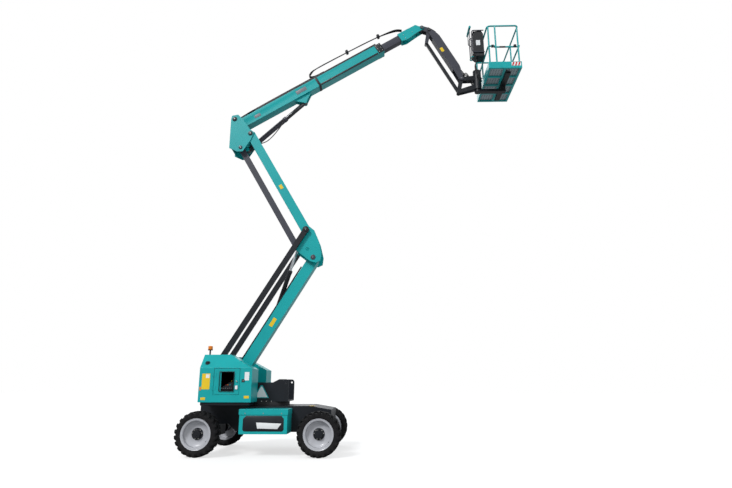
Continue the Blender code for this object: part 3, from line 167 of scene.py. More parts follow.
# ---------------------------------------------------------------------------------------------------------
# Materials
# ---------------------------------------------------------------------------------------------------------
def surface(name, colour, roughness, metallic=0.0, coat=0.0, vary=0.12, grain=40.0, bump=0.001, dust=0.0,
            wear=None, specular=0.3):
    """A procedural surface: wide and fine colour variation, uneven gloss, a fine bump, dust low down on the
    machine and, where wear is a colour, scuffed outer edges in that colour."""
    made = bpy.data.materials.new(name)
    made.use_nodes = True
    tree = made.node_tree
    link = tree.links.new
    shader = tree.nodes["Principled BSDF"]
    shader.inputs["Metallic"].default_value = metallic
    shader.inputs["Coat Weight"].default_value = coat
    shader.inputs["Coat Roughness"].default_value = 0.10
    shader.inputs["Specular IOR Level"].default_value = specular
    place = tree.nodes.new("ShaderNodeTexCoord")

    def noise(scale, detail):
        node = tree.nodes.new("ShaderNodeTexNoise")
        node.inputs["Scale"].default_value = scale
        node.inputs["Detail"].default_value = detail
        link(place.outputs["Object"], node.inputs["Vector"])
        return node.outputs["Fac"]

    def ramp(source, low, high, a=0.3, b=0.7):
        node = tree.nodes.new("ShaderNodeValToRGB")
        node.color_ramp.elements[0].position = a
        node.color_ramp.elements[1].position = b
        node.color_ramp.elements[0].color = (*low, 1)
        node.color_ramp.elements[1].color = (*high, 1)
        link(source, node.inputs["Fac"])
        return node.outputs["Color"]

    def times(a, b):
        node = tree.nodes.new("ShaderNodeMath")
        node.operation = "MULTIPLY"
        link(a, node.inputs[0])
        link(b, node.inputs[1])
        return node.outputs[0]

    def over(base, colour, amount):
        node = tree.nodes.new("ShaderNodeMix")
        node.data_type = "RGBA"
        node.inputs["B"].default_value = (*colour, 1)
        link(amount, node.inputs["Factor"])
        link(base, node.inputs["A"])
        return node.outputs["Result"]

    black, white = (0, 0, 0), (1, 1, 1)
    fine = noise(grain, 4)
    dark = tuple(c * (1 - vary) for c in colour)
    pale = tuple(min(1.0, c * (1 + vary)) for c in colour)
    last = ramp(noise(2.2, 3), dark, pale)
    specks = ramp(noise(grain * 2, 3), black, white, 0.60, 0.74)
    faint = tree.nodes.new("ShaderNodeMath")
    faint.operation = "MULTIPLY"
    faint.inputs[1].default_value = vary * 0.8
    link(specks, faint.inputs[0])
    last = over(last, tuple(c * 0.55 for c in colour), faint.outputs[0])
    if dust:
        height = tree.nodes.new("ShaderNodeSeparateXYZ")
        link(place.outputs["Object"], height.inputs["Vector"])
        near_floor = tree.nodes.new("ShaderNodeMapRange")
        near_floor.inputs["From Min"].default_value = 0.05
        near_floor.inputs["From Max"].default_value = 1.0
        near_floor.inputs["To Min"].default_value = dust
        near_floor.inputs["To Max"].default_value = dust * 0.08
        link(height.outputs["Z"], near_floor.inputs["Value"])
        amount = times(near_floor.outputs["Result"], ramp(noise(6.0, 6), black, white, 0.38, 0.78))
        last = over(last, (0.20, 0.18, 0.15), amount)
    if wear:
        shape = tree.nodes.new("ShaderNodeNewGeometry")
        rounded = tree.nodes.new("ShaderNodeBevel")
        rounded.samples = 4
        rounded.inputs["Radius"].default_value = 0.005
        alike = tree.nodes.new("ShaderNodeVectorMath")
        alike.operation = "DOT_PRODUCT"
        link(shape.outputs["Normal"], alike.inputs[0])
        link(rounded.outputs["Normal"], alike.inputs[1])
        edge = ramp(alike.outputs["Value"], white, black, 0.80, 0.97)
        last = over(last, wear, times(edge, ramp(noise(9.0, 5), black, (0.7, 0.7, 0.7), 0.52, 0.66)))
    link(last, shader.inputs["Base Color"])
    rough = tree.nodes.new("ShaderNodeMapRange")
    rough.inputs["To Min"].default_value = max(0.02, roughness - 0.07)
    rough.inputs["To Max"].default_value = min(1.0, roughness + 0.09)
    link(fine, rough.inputs["Value"])
    link(rough.outputs["Result"], shader.inputs["Roughness"])
    relief = tree.nodes.new("ShaderNodeBump")
    relief.inputs["Strength"].default_value = 0.35
    relief.inputs["Distance"].default_value = bump
    link(fine, relief.inputs["Height"])
    link(relief.outputs["Normal"], shader.inputs["Normal"])
    return made


BARE = (0.30, 0.30, 0.31)
TEAL = surface("teal_paint", (0.001, 0.325, 0.335), 0.36, coat=0.12, vary=0.06, bump=0.0004, dust=0.02,
               wear=BARE)
BLACK = surface("black_paint", (0.006, 0.008, 0.012), 0.42, coat=0.06, vary=0.2, bump=0.0005, dust=0.03,
                wear=(0.10, 0.10, 0.11))
GREY = surface("dark_grey_paint", (0.042, 0.044, 0.058), 0.42, coat=0.08, vary=0.10, bump=0.0005, wear=BARE)
RIM = surface("rim_grey", (0.40, 0.41, 0.44), 0.42, coat=0.15, vary=0.07, bump=0.0006, dust=0.14)
TYRE = surface("tyre_rubber", (0.006, 0.006, 0.007), 0.8, vary=0.25, bump=0.0012, dust=0.05, grain=90,
               specular=0.2)
CHROME = surface("chrome", (0.80, 0.81, 0.83), 0.12, metallic=1.0, vary=0.03, bump=0.0001)
ROD = surface("dark_rod", (0.030, 0.032, 0.036), 0.20, metallic=0.6, coat=0.4, vary=0.10, bump=0.0001)
AMBER = surface("amber_lens", (0.80, 0.22, 0.005), 0.14, coat=0.7, vary=0.12, bump=0.0004, grain=120)
IRON = surface("cast_iron", (0.030, 0.030, 0.032), 0.7, metallic=0.2, vary=0.25, bump=0.002)
PLASTIC = surface("black_plastic", (0.018, 0.019, 0.022), 0.45, coat=0.1, vary=0.15, bump=0.001, grain=160)
HOSE = surface("hose_rubber", (0.010, 0.010, 0.012), 0.5, vary=0.2, bump=0.0008, grain=200)
STEEL = surface("zinc_steel", (0.42, 0.42, 0.40), 0.35, metallic=0.9, vary=0.12, bump=0.0004, grain=120)
WHITE = surface("white_plate", (0.72, 0.74, 0.75), 0.35, vary=0.03, bump=0.0002)
SILVER = surface("grey_plate", (0.16, 0.17, 0.19), 0.4, vary=0.06, bump=0.0002)
YELLOW = surface("yellow_plate", (0.72, 0.50, 0.02), 0.38, vary=0.05, bump=0.0002)
RED = surface("red_plastic", (0.55, 0.02, 0.02), 0.3, coat=0.4, vary=0.08, bump=0.0003)
MESH_PANEL = surface("floor_panel", (0.30, 0.38, 0.41), 0.45, metallic=0.2, vary=0.08, bump=0.0008)
SURFACES = {"teal_paint": TEAL, "black_paint": BLACK, "dark_grey_paint": GREY, "rim_grey": RIM,
            "tyre_rubber": TYRE, "chrome": CHROME, "amber_lens": AMBER, "cast_iron": IRON,
            "black_plastic": PLASTIC}


# ---------------------------------------------------------------------------------------------------------
# Shape helpers
# ---------------------------------------------------------------------------------------------------------
def smooth_path(points, steps=8, closed=False):
    """A Catmull-Rom curve through the points."""
    points = [Vector(point) for point in points]
    count = len(points)
    out = []
    spans = count if closed else count - 1
    for i in range(spans):
        if closed:
            a, b, c, d = (points[(i + k - 1) % count] for k in range(4))
        else:
            a, b = points[max(i - 1, 0)], points[i]
            c, d = points[i + 1], points[min(i + 2, count - 1)]
        for k in range(steps):
            t = k / steps
            out.append(0.5 * (2 * b + (c - a) * t + (2 * a - 5 * b + 4 * c - d) * t * t
                              + (3 * b - a - 3 * c + d) * t ** 3))
    if not closed:
        out.append(points[-1])
    return out


def bent_path(points, radius, closed=False, steps=6):
    """Straight runs with a round bend at each corner."""
    points = [Vector(point) for point in points]
    count = len(points)
    out = []
    for i, corner in enumerate(points):
        if not closed and i in (0, count - 1):
            out.append(corner)
            continue
        before = points[i - 1] - corner
        after = points[(i + 1) % count] - corner
        half = before.angle(after) / 2
        if math.pi / 2 - half < 0.02:
            out.append(corner)
            continue
        reach = min(radius / math.tan(half), before.length * 0.49, after.length * 0.49)
        size = reach * math.tan(half)
        before, after = before.normalized(), after.normalized()
        centre = corner + (before + after).normalized() * size / math.sin(half)
        start, end = corner + before * reach - centre, corner + after * reach - centre
        out += [centre + start.lerp(end, k / steps).normalized() * size for k in range(steps + 1)]
    return out


def slope(start, end):
    """A function from (along, up, across) to a point, along and up being taken from one pin to another."""
    run = (end - start).normalized()
    up = Vector((-run.z, 0, run.x))

    def at(along, rise=0.0, across=0.0):
        return start + run * along + up * rise + Vector((0, across, 0))

    return at


class Piece:
    """One mesh, gathered from simple shapes."""

    def __init__(self, paint):
        self.shape = bmesh.new()
        self.paints = []
        self.use(paint)

    def use(self, paint):
        if paint not in self.paints:
            self.paints.append(paint)
        self.index = self.paints.index(paint)
        return self

    def take(self, part, matrix=None):
        """Adds another bmesh, with the current paint."""
        if matrix is not None:
            part.transform(matrix)
        for face in part.faces:
            face.material_index = self.index
        mesh = bpy.data.meshes.new("part")
        part.to_mesh(mesh)
        part.free()
        self.shape.from_mesh(mesh)
        bpy.data.meshes.remove(mesh)
        return self

    def box(self, low, high, edge=0.0, turn=None):
        part = bmesh.new()
        bmesh.ops.create_cube(part, size=1.0)
        low, high = Vector(low), Vector(high)
        size = [max(abs(v), 1e-5) for v in high - low]
        part.transform(Matrix.Diagonal((*size, 1)))
        if edge:
            bmesh.ops.bevel(part, geom=part.edges[:], offset=min(edge, min(size) * 0.45), segments=3,
                            profile=0.5, affect="EDGES")
        return self.take(part, Matrix.Translation((low + high) / 2) @ (turn or Matrix()))

    def rod(self, start, end, radius, end_radius=None, sides=20, edge=0.0):
        start, end = Vector(start), Vector(end)
        part = bmesh.new()
        top_radius = radius if end_radius is None else end_radius
        bmesh.ops.create_cone(part, cap_ends=True, segments=sides, radius1=radius, radius2=top_radius,
                              depth=(end - start).length)
        if edge:
            rims = [e for e in part.edges
                    if len(e.link_faces) == 2 and max(len(f.verts) for f in e.link_faces) > 4]
            bmesh.ops.bevel(part, geom=rims, offset=edge, segments=2, profile=0.5, affect="EDGES")
        turn = (end - start).to_track_quat("Z", "Y").to_matrix().to_4x4()
        return self.take(part, Matrix.Translation((start + end) / 2) @ turn)

    def tube(self, path, radius, closed=False, sides=10):
        """A round sweep along a path, its section turned as little as possible."""
        path = [Vector(point) for point in path]
        count = len(path)
        part = bmesh.new()
        rings = []
        side = None
        for i, point in enumerate(path):
            if closed:
                run = (path[(i + 1) % count] - path[i - 1]).normalized()
            else:
                run = (path[min(i + 1, count - 1)] - path[max(i - 1, 0)]).normalized()
            if side is None:
                side = run.orthogonal().normalized()
            side = (side - run * side.dot(run)).normalized()
            over = run.cross(side)
            rings.append([part.verts.new(point + (side * math.cos(a) + over * math.sin(a)) * radius)
                          for a in (math.tau * k / sides for k in range(sides))])
        pairs = list(zip(rings, rings[1:]))
        for a, b in pairs:
            for k in range(sides):
                n = (k + 1) % sides
                part.faces.new((a[k], a[n], b[n], b[k]))
        if closed:
            a, b = rings[-1], rings[0]
            shift = min(range(sides), key=lambda s: (a[0].co - b[s].co).length)
            for k in range(sides):
                n = (k + 1) % sides
                part.faces.new((a[k], a[n], b[(n + shift) % sides], b[(k + shift) % sides]))
        else:
            part.faces.new(list(reversed(rings[0])))
            part.faces.new(rings[-1])
        bmesh.ops.recalc_face_normals(part, faces=part.faces)
        return self.take(part)

    def prism(self, outline, y0, y1, edge=0.0, matrix=None):
        """An outline in the XZ plane, between y0 and y1."""
        part = bmesh.new()
        face = part.faces.new([part.verts.new((x, y0, z)) for x, z in outline])
        made = bmesh.ops.extrude_face_region(part, geom=[face])
        moved = [v for v in made["geom"] if isinstance(v, bmesh.types.BMVert)]
        bmesh.ops.translate(part, verts=moved, vec=(0, y1 - y0, 0))
        bmesh.ops.recalc_face_normals(part, faces=part.faces)
        if edge:
            bmesh.ops.bevel(part, geom=part.edges[:], offset=min(edge, abs(y1 - y0) * 0.45), segments=2,
                            profile=0.5, affect="EDGES")
        return self.take(part, matrix)

    def lathe(self, profile, centre, axis, sides=64):
        """A (radius, height) profile turned about an axis through the centre."""
        part = bmesh.new()
        rings = []
        for radius, height in profile:
            if radius < 1e-6:
                rings.append([part.verts.new((0, 0, height))])
            else:
                rings.append([part.verts.new((radius * math.cos(a), radius * math.sin(a), height))
                              for a in (math.tau * k / sides for k in range(sides))])
        for a, b in zip(rings, rings[1:]):
            for k in range(sides):
                n = (k + 1) % sides
                corners = [a[k % len(a)], a[n % len(a)], b[n % len(b)], b[k % len(b)]]
                unique = list(dict.fromkeys(corners))
                if len(unique) > 2:
                    part.faces.new(unique)
        bmesh.ops.recalc_face_normals(part, faces=part.faces)
        turn = Vector(axis).to_track_quat("Z", "Y").to_matrix().to_4x4()
        return self.take(part, Matrix.Translation(centre) @ turn)

    def done(self, name, body, smooth=35, stands_for=()):
        mesh = bpy.data.meshes.new(name)
        self.shape.to_mesh(mesh)
        self.shape.free()
        for paint in self.paints:
            mesh.materials.append(paint)
        mesh.shade_smooth()
        mesh.set_sharp_from_angle(angle=math.radians(smooth))
        made = bpy.data.objects.new(name, mesh)
        scene.collection.objects.link(made)
        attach(made, body)
        if stands_for:
            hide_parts(*stands_for)
        return made


def softened(node, width=0.004, segments=2, paint=None):
    """The CAD node's own shape with rounded edges, in place of the node."""
    mesh = NODES[node].data.copy()
    shape = bmesh.new()
    shape.from_mesh(mesh)
    bmesh.ops.remove_doubles(shape, verts=shape.verts, dist=0.00002)
    bmesh.ops.dissolve_limit(shape, angle_limit=math.radians(1.5), verts=shape.verts, edges=shape.edges)
    shape.to_mesh(mesh)
    shape.free()
    mesh.materials.clear()
    mesh.materials.append(paint or SURFACES[SLOT_OF[node]])
    mesh.shade_smooth()
    mesh.set_sharp_from_angle(angle=math.radians(35))
    made = bpy.data.objects.new(node + "_skin", mesh)
    scene.collection.objects.link(made)
    bevel = made.modifiers.new("edges", "BEVEL")
    bevel.width = width
    bevel.segments = segments
    bevel.limit_method = "ANGLE"
    bevel.angle_limit = math.radians(40)
    bevel.harden_normals = True
    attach(made, BODY_OF[node])
    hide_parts(node)
    return made


for node, made in NODES.items():
    made.data.materials.clear()
    made.data.materials.append(SURFACES[SLOT_OF[node]])

EDGES = {"door_near": 0.004, "door_far": 0.004, "side_box_near": 0.008, "side_box_far": 0.008,
         "side_lid_near": 0.012, "side_lid_far": 0.012, "chassis_frame": 0.006,
         "outer_boom": 0.012, "inner_boom": 0.008, "lower_riser": 0.004, "upper_riser": 0.010,
         "counterweight": 0.02, "jib": 0.006, "axle_fixed": 0.008, "axle_steer": 0.008, "knee": 0.002,
         "boom_head": 0.004, "upper_link": 0.004, "lower_link_near": 0.004,
         "lower_link_far": 0.004, "jib_head": 0.003, "platform_bracket": 0.004, "jib_link": 0.004,
         "basket_support": 0.006, "slew_ring": 0.004, "ballast": 0.01, "engine": 0.01}
OTHER_PAINT = {"upper_link": GREY}
for node, width in EDGES.items():
    softened(node, width, paint=OTHER_PAINT.get(node))
NODES["lift_cylinder_rod"].data.materials[0] = ROD
NODES["lift_cylinder_barrel"].data.materials[0] = GREY


# ---------------------------------------------------------------------------------------------------------
# Wheels
# ---------------------------------------------------------------------------------------------------------
LUGS = 22


def tyre(body):
    """A carcass and two rows of bar lugs, the rows half a pitch apart."""
    node = body.replace("wheel", "tyre")
    low, high = limits(node)
    centre = (low + high) / 2
    side = 1 if centre.y > 0 else -1
    outer = (high.z - low.z) / 2
    half = (high.y - low.y) / 2
    bead = 0.2627
    base = outer - 0.032
    piece = Piece(TYRE)
    flank = [(bead, half - 0.024), (bead + 0.03, half - 0.021), (bead + 0.045, half - 0.010),
             (bead + 0.075, half - 0.004), (outer - 0.065, half - 0.006), (outer - 0.045, half - 0.016),
             (base, half - 0.045)]
    profile = [(bead, -(half - 0.024)), *flank, *[(r, -h) for r, h in reversed(flank)]]
    piece.lathe(profile, centre, (0, side, 0), 88)
    width = math.radians(360 / LUGS * 0.46)
    lean = math.radians(360 / LUGS * 0.62)
    # across the tread: (radius of the top, distance from the middle plane, share of the lean, width share)
    rows = [(outer - 0.002, -0.018, 0.0, 1.1), (outer, 0.03, 0.28, 1.05), (outer, 0.085, 0.62, 1.0),
            (outer - 0.008, half - 0.022, 0.86, 1.0), (outer - 0.030, half - 0.002, 1.0, 0.95),
            (outer - 0.060, half, 1.0, 0.9), (outer - 0.082, half - 0.003, 1.0, 0.6)]
    sunk = [base - 0.006] * 4 + [outer - 0.060, outer - 0.075, outer - 0.090]
    for row in (1, -1):
        for k in range(LUGS):
            part = bmesh.new()
            start = math.tau * (k + (0.5 if row < 0 else 0.0)) / LUGS
            sections = []
            for (top, across, share, wide), bottom in zip(rows, sunk):
                angle = start + lean * share
                span = width / 2 * wide
                ring = []
                for radius, turn, tuck in ((bottom, -span * 1.15, 1), (top, -span, 0), (top, span, 0),
                                           (bottom, span * 1.15, 1)):
                    depth = across if across < 0.1 or not tuck else across - 0.020
                    ring.append(part.verts.new((radius * math.sin(angle + turn), row * depth,
                                                radius * math.cos(angle + turn))))
                sections.append(ring)
            for a, b in zip(sections, sections[1:]):
                for i in range(4):
                    part.faces.new((a[i], a[(i + 1) % 4], b[(i + 1) % 4], b[i]))
            part.faces.new(sections[0])
            part.faces.new(list(reversed(sections[-1])))
            bmesh.ops.recalc_face_normals(part, faces=part.faces)
            piece.take(part, Matrix.Translation(centre))
    made = piece.done(node + "_tread", body, 30, (node,))
    edges = made.modifiers.new("edges", "BEVEL")
    edges.width = 0.003
    edges.segments = 1
    edges.limit_method = "ANGLE"
    edges.angle_limit = math.radians(45)


def rim(body):
    """A dished disc wheel with a bright bead, a stepped well, a black hub and its studs."""
    node = body.replace("wheel", "rim")
    low, high = limits(body.replace("wheel", "tyre"))
    centre = (low + high) / 2
    side = 1 if centre.y > 0 else -1
    half = (high.y - low.y) / 2
    axis = Vector((0, side, 0))
    lip = half - 0.022
    disc = half - 0.146
    piece = Piece(RIM)
    piece.lathe([(0.262, -lip), (0.290, -lip - 0.004), (0.2915, -lip - 0.009), (0.284, -lip - 0.011),
                 (0.256, -lip - 0.004), (0.250, -0.02), (0.246, disc - 0.02), (0.20, disc - 0.008),
                 (0.112, disc - 0.008), (0.112, disc + 0.004), (0.150, disc + 0.006), (0.192, disc + 0.016),
                 (0.228, disc + 0.034), (0.240, disc + 0.044), (0.2445, disc + 0.075), (0.2455, lip - 0.018),
                 (0.250, lip - 0.008), (0.262, lip - 0.004), (0.276, lip + 0.0005), (0.286, lip + 0.0085),
                 (0.2905, lip + 0.0095), (0.2922, lip + 0.005), (0.289, lip + 0.0006), (0.262, lip)],
                centre, axis, 80)
    piece.use(BLACK)
    hub = disc + 0.004
    piece.lathe([(0.112, hub - 0.012), (0.112, hub + 0.006), (0.105, hub + 0.012), (0.082, hub + 0.014),
                 (0.074, hub + 0.020), (0.072, hub + 0.064), (0.066, hub + 0.072), (0.030, hub + 0.074),
                 (0.026, hub + 0.080), (0.0, hub + 0.081)], centre, axis, 48)
    for k in range(9):
        angle = math.tau * k / 9
        out = Vector((math.sin(angle), 0, math.cos(angle)))
        foot = centre + out * 0.092 + axis * (hub + 0.010)
        piece.use(STEEL if k % 3 else BLACK)
        piece.rod(foot, foot + axis * 0.018, 0.0115, sides=6)
        piece.rod(foot, foot + axis * 0.030, 0.0065, sides=10)
    piece.use(BLACK)
    for k in range(6):
        angle = math.tau * (k + 0.5) / 6
        out = Vector((math.sin(angle), 0, math.cos(angle)))
        foot = centre + out * 0.048 + axis * (hub + 0.070)
        piece.rod(foot, foot + axis * 0.010, 0.007, sides=6)
    valve = Vector((math.sin(2.2), 0, math.cos(2.2)))
    foot = centre + valve * 0.238 + axis * (disc + 0.05)
    piece.rod(foot, foot + axis * 0.035 - valve * 0.012, 0.005, sides=10)
    piece.done(node + "_detail", body, 32, (node,))


for wheel in ("wheel_steer_near", "wheel_steer_far", "wheel_fixed_near", "wheel_fixed_far"):
    tyre(wheel)
    rim(wheel)


# ---------------------------------------------------------------------------------------------------------
# Chassis and turret
# ---------------------------------------------------------------------------------------------------------
TREES = {}


def seen_from_near(node, x, z):
    """Where a line along +Y from the near side first meets the node, and the surface's direction there."""
    if node not in TREES:
        mesh = NODES[node].data
        faces = [list(face.vertices) for face in mesh.polygons]
        TREES[node] = BVHTree.FromPolygons([vertex.co for vertex in mesh.vertices], faces)
    return TREES[node].ray_cast(Vector((x, -5, z)), Vector((0, 1, 0)))[:2]


def plate_on(piece, node, x, z, width, height, thick=0.002, lean=0.0, edge=0.0):
    """A thin plate lying on the node's near face."""
    place, normal = seen_from_near(node, x, z)
    if place is None:
        return
    across = STRAIGHT_UP.cross(normal).normalized()
    turn = Matrix((across, -normal, normal.cross(-across) * -1)).transposed().to_4x4()
    turn = turn @ Matrix.Rotation(lean, 4, "Y")
    half = Vector((width / 2, thick, height / 2))
    centre = place + normal * thick * 0.5
    piece.box(centre - half, centre + half, edge, turn)


def chassis_details():
    low = limits("side_lid_near")[0]
    box_low, box_high = limits("side_box_near")
    frame_low, frame_high = limits("chassis_frame")
    middle = (box_low.x + box_high.x) / 2
    span = box_high.x - box_low.x
    piece = Piece(BLACK)
    for side in (-1, 1):
        face = sorted((side * (abs(box_low.y) - 0.006), side * (abs(box_low.y) + 0.003)))
        lower = box_low.z + 0.05
        upper = min(box_high.z, low.z) - 0.015
        corners = [(-0.42, lower + 0.03), (-0.39, lower), (0.40, lower), (0.43, lower + 0.03),
                   (0.43, upper - 0.06), (0.38, upper), (-0.36, upper), (-0.42, upper - 0.06)]  # share, z
        outline = [(middle + span * share, z) for share, z in corners]
        piece.use(BLACK).prism(outline, *face, 0.003)
    piece.use(WHITE)
    a, b = middle - span * 0.14, lower + 0.055
    piece.prism([(a + 0.02, b), (a + span * 0.44, b - 0.01), (a + span * 0.52, b + 0.09), (a, b + 0.11)],
                box_low.y - 0.008, box_low.y - 0.002, 0.002)
    piece.use(STEEL)
    for share in (0.12, 0.5, 0.88):
        x = box_low.x + span * share
        piece.rod((x, low.y - 0.004, low.z + 0.03), (x, low.y + 0.01, low.z + 0.03), 0.010, sides=16)
    piece.use(YELLOW).box((frame_high.x - 0.34, frame_low.y + 0.01, frame_high.z - 0.0005),
                          (frame_high.x - 0.06 - 0.40, frame_low.y + 0.16, frame_high.z + 0.001))
    piece.use(STEEL)
    for side in (-1, 1):
        for x in (frame_low.x + 0.05, frame_high.x - 0.03):
            for y in (0.12, 0.26):
                foot = Vector((x - 0.02, side * y, frame_high.z - 0.08))
                piece.rod(foot, foot + STRAIGHT_UP * 0.015, 0.012, sides=6)
    piece.done("chassis_trim", "chassis")


def skirt_and_deck():
    """The dark space under the hoods: pans, a hose run and the slew motor's cover."""
    hood_low, hood_high = limits("hood_near")
    ring_low, ring_high = limits("slew_ring")
    piece = Piece(BLACK)
    for side in (-1, 1):
        y0, y1 = sorted((side * (abs(hood_low.y) - 0.03), side * 0.45))
        piece.box((hood_low.x + 0.04, y0, ring_high.z - 0.062),
                  (hood_high.x - 0.04, y1, hood_low.z + 0.002), 0.012)
    motor = Vector((ring_low.x + 0.06, -0.30, ring_high.z - 0.06))
    piece.use(IRON).rod(motor, motor + STRAIGHT_UP * 0.16, 0.06, edge=0.004)
    for k in range(24):
        angle = math.tau * k / 24
        middle = (ring_low + ring_high) / 2
        reach = (ring_high.x - ring_low.x) / 2 - 0.03
        foot = Vector((middle.x + reach * math.cos(angle), middle.y + reach * math.sin(angle),
                       ring_high.z - 0.002))
        piece.use(STEEL).rod(foot, foot + STRAIGHT_UP * 0.014, 0.011, sides=6)
    piece.use(HOSE)
    for k in range(5):
        y = -0.26 + 0.03 * k
        start = Vector((hood_high.x + 0.02, y, hood_low.z + 0.06))
        route = [start, start + Vector((0.16, -0.02, 0.14)), LOWER_PIN + Vector((0.26, y * 0.3, 0.20)),
                 LOWER_PIN + Vector((0.42, y * 0.25, 0.46))]
        piece.tube(smooth_path(route), 0.011)
    piece.done("turret_underside", "turret")


def hood_details():
    low, high = limits("hood_near")
    door_low, door_high = limits("door_near")
    front = low.y
    piece = Piece(PLASTIC)
    # round vent in the slope
    place, normal = seen_from_near("hood_near", low.x + 0.12, high.z - 0.175)
    if place:
        ring = [(0.0, 0.004), (0.036, 0.004), (0.038, 0.010), (0.046, 0.009), (0.048, -0.002)]
        piece.use(BLACK).lathe(ring, place, normal, 32)
        half_slat = Vector((0.03, 0, 0))
        for k in range(5):
            slat = place + normal * 0.007 + STRAIGHT_UP * (k - 2) * 0.014
            piece.rod(slat - half_slat, slat + half_slat, 0.003, sides=6)
    door_mid = (door_low.z + door_high.z) / 2
    beside = (low.x + door_low.x) / 2
    piece.use(YELLOW)
    plate_on(piece, "hood_near", beside, door_mid, 0.16, 0.30)
    plate_on(piece, "hood_near", high.x - 0.09, low.z + 0.10, 0.10, 0.05)
    plate_on(piece, "hood_near", high.x - 0.12, high.z - 0.20, 0.10, 0.04)
    plate_on(piece, "hood_near", low.x + 0.10, low.z + 0.07, 0.09, 0.05)
    piece.use(WHITE)
    plate_on(piece, "hood_near", beside + 0.03, door_mid + 0.10, 0.07, 0.07, 0.003)
    plate_on(piece, "hood_near", high.x - 0.10, door_mid + 0.10, 0.09, 0.16, 0.003)
    piece.use(AMBER)
    plate_on(piece, "hood_near", low.x + 0.035, low.z + 0.26, 0.03, 0.07, 0.004, edge=0.003)
    # latches and handle
    piece.use(BLACK)
    latch = Vector((high.x - 0.17, front, low.z + 0.41))
    piece.box(latch + Vector((-0.03, -0.006, -0.03)), latch + Vector((0.03, 0.004, 0.03)), 0.004)
    piece.use(STEEL).rod(latch + Vector((0, -0.010, 0)), latch, 0.012, sides=20)
    piece.done("hood_trim_near", "turret")

    trim = Piece(BLACK)
    panel_low, panel_high = limits("control_panel")
    window_low = Vector((door_low.x + 0.142, panel_low.y, door_low.z + 0.069))
    window_high = Vector((door_high.x - 0.111, panel_high.y, door_high.z - 0.070))
    wide, tall = window_high.x - window_low.x, window_high.z - window_low.z
    lock = Vector((door_high.x - 0.045, door_low.y, door_mid))
    trim.use(STEEL).rod(lock + Vector((0, -0.008, 0)), lock + Vector((0, 0.004, 0)), 0.013, edge=0.002)
    trim.use(WHITE)
    trim.box((door_high.x - 0.075, door_low.y - 0.0015, door_low.z + 0.10),
             (door_high.x - 0.025, door_low.y + 0.004, door_low.z + 0.17))
    trim.use(BLACK)
    gap = 0.012
    y0, y1 = door_low.y - 0.004, door_low.y + 0.006
    for a, b in (((window_low.x - gap, window_low.z - gap), (window_high.x + gap, window_low.z)),
                 ((window_low.x - gap, window_high.z), (window_high.x + gap, window_high.z + gap)),
                 ((window_low.x - gap, window_low.z), (window_low.x, window_high.z)),
                 ((window_high.x, window_low.z), (window_high.x + gap, window_high.z))):
        trim.box((a[0], y0, a[1]), (b[0], y1, b[1]), 0.002)
    trim.done("door_trim_near", "door_near")

    panel = Piece(PLASTIC)
    face = window_low.y

    def spot(u, v, out=0.0):
        return Vector((window_low.x + wide * u, face - out, window_low.z + tall * v))

    panel.use(GREY).box(spot(0.06, 0.52), spot(0.94, 0.94, 0.006), 0.003)
    panel.use(BLACK).box(spot(0.06, 0.06), spot(0.94, 0.46, 0.006), 0.003)
    for u, v, radius in ((0.28, 0.74, 0.036), (0.66, 0.78, 0.026)):
        panel.use(STEEL).rod(spot(u, v), spot(u, v, 0.014), radius, sides=32, edge=0.002)
        panel.use(WHITE).rod(spot(u, v), spot(u, v, 0.015), radius * 0.82, sides=32)
        panel.use(BLACK).box(spot(u, v) + Vector((-0.0015, -0.016, 0)),
                             spot(u, v) + Vector((0.0015, -0.012, radius * 0.6)))
    panel.use(RED).rod(spot(0.78, 0.58), spot(0.78, 0.58, 0.022), 0.020, 0.017, sides=24, edge=0.003)
    panel.use(YELLOW).rod(spot(0.78, 0.58), spot(0.78, 0.58, 0.010), 0.026, sides=24)
    panel.use(WHITE).rod(spot(0.20, 0.30), spot(0.20, 0.30, 0.014), 0.022, sides=24, edge=0.003)
    for k in range(6):
        u = 0.16 + 0.136 * k
        panel.use(STEEL).rod(spot(u, 0.14), spot(u, 0.14, 0.012), 0.008, sides=6)
        thrown = STRAIGHT_UP * (0.012 if k % 2 else -0.012)
        panel.use(BLACK).rod(spot(u, 0.14, 0.010), spot(u, 0.14, 0.020) + thrown, 0.0035, 0.005, sides=10)
    for k, paint in enumerate((RED, AMBER, TEAL)):
        u = 0.44 + 0.14 * k
        panel.use(paint).rod(spot(u, 0.32), spot(u, 0.32, 0.012), 0.008, sides=16)
    panel.done("control_panel_face", "turret")


def turret_plates():
    piece = Piece(WHITE)
    x, z = WHEEL_MID_X - 0.11, LOWER_PIN.z
    place = seen_from_near("turret_frame", x, z)[0]
    if place:
        # half width at the foot and at the top, foot, top, how far proud and how far sunk
        for paint, foot, tip, low, high, proud, sunk in ((TEAL, 0.16, 0.02, -0.17, 0.08, 0.002, 0.002),
                                                         (WHITE, 0.13, 0.012, -0.155, 0.055, 0.004, 0.001)):
            outline = [(x - foot, z + low), (x + foot, z + low), (x + tip, z + high), (x - tip, z + high)]
            piece.use(paint).prism(outline, place.y - proud, place.y + sunk)
    piece.use(STEEL)
    for joint_pin, radius in ((LOWER_PIN, 0.055), (LINK_BASE, 0.045)):
        for side in (-1, 1):
            foot = Vector((joint_pin.x, side * 0.385, joint_pin.z))
            piece.use(BLACK).rod(foot, foot + Vector((0, side * 0.012, 0)), radius, edge=0.002)
            piece.use(STEEL).rod(foot, foot + Vector((0, side * 0.020, 0)), 0.012, sides=6)
    piece.done("turret_plates", "turret")


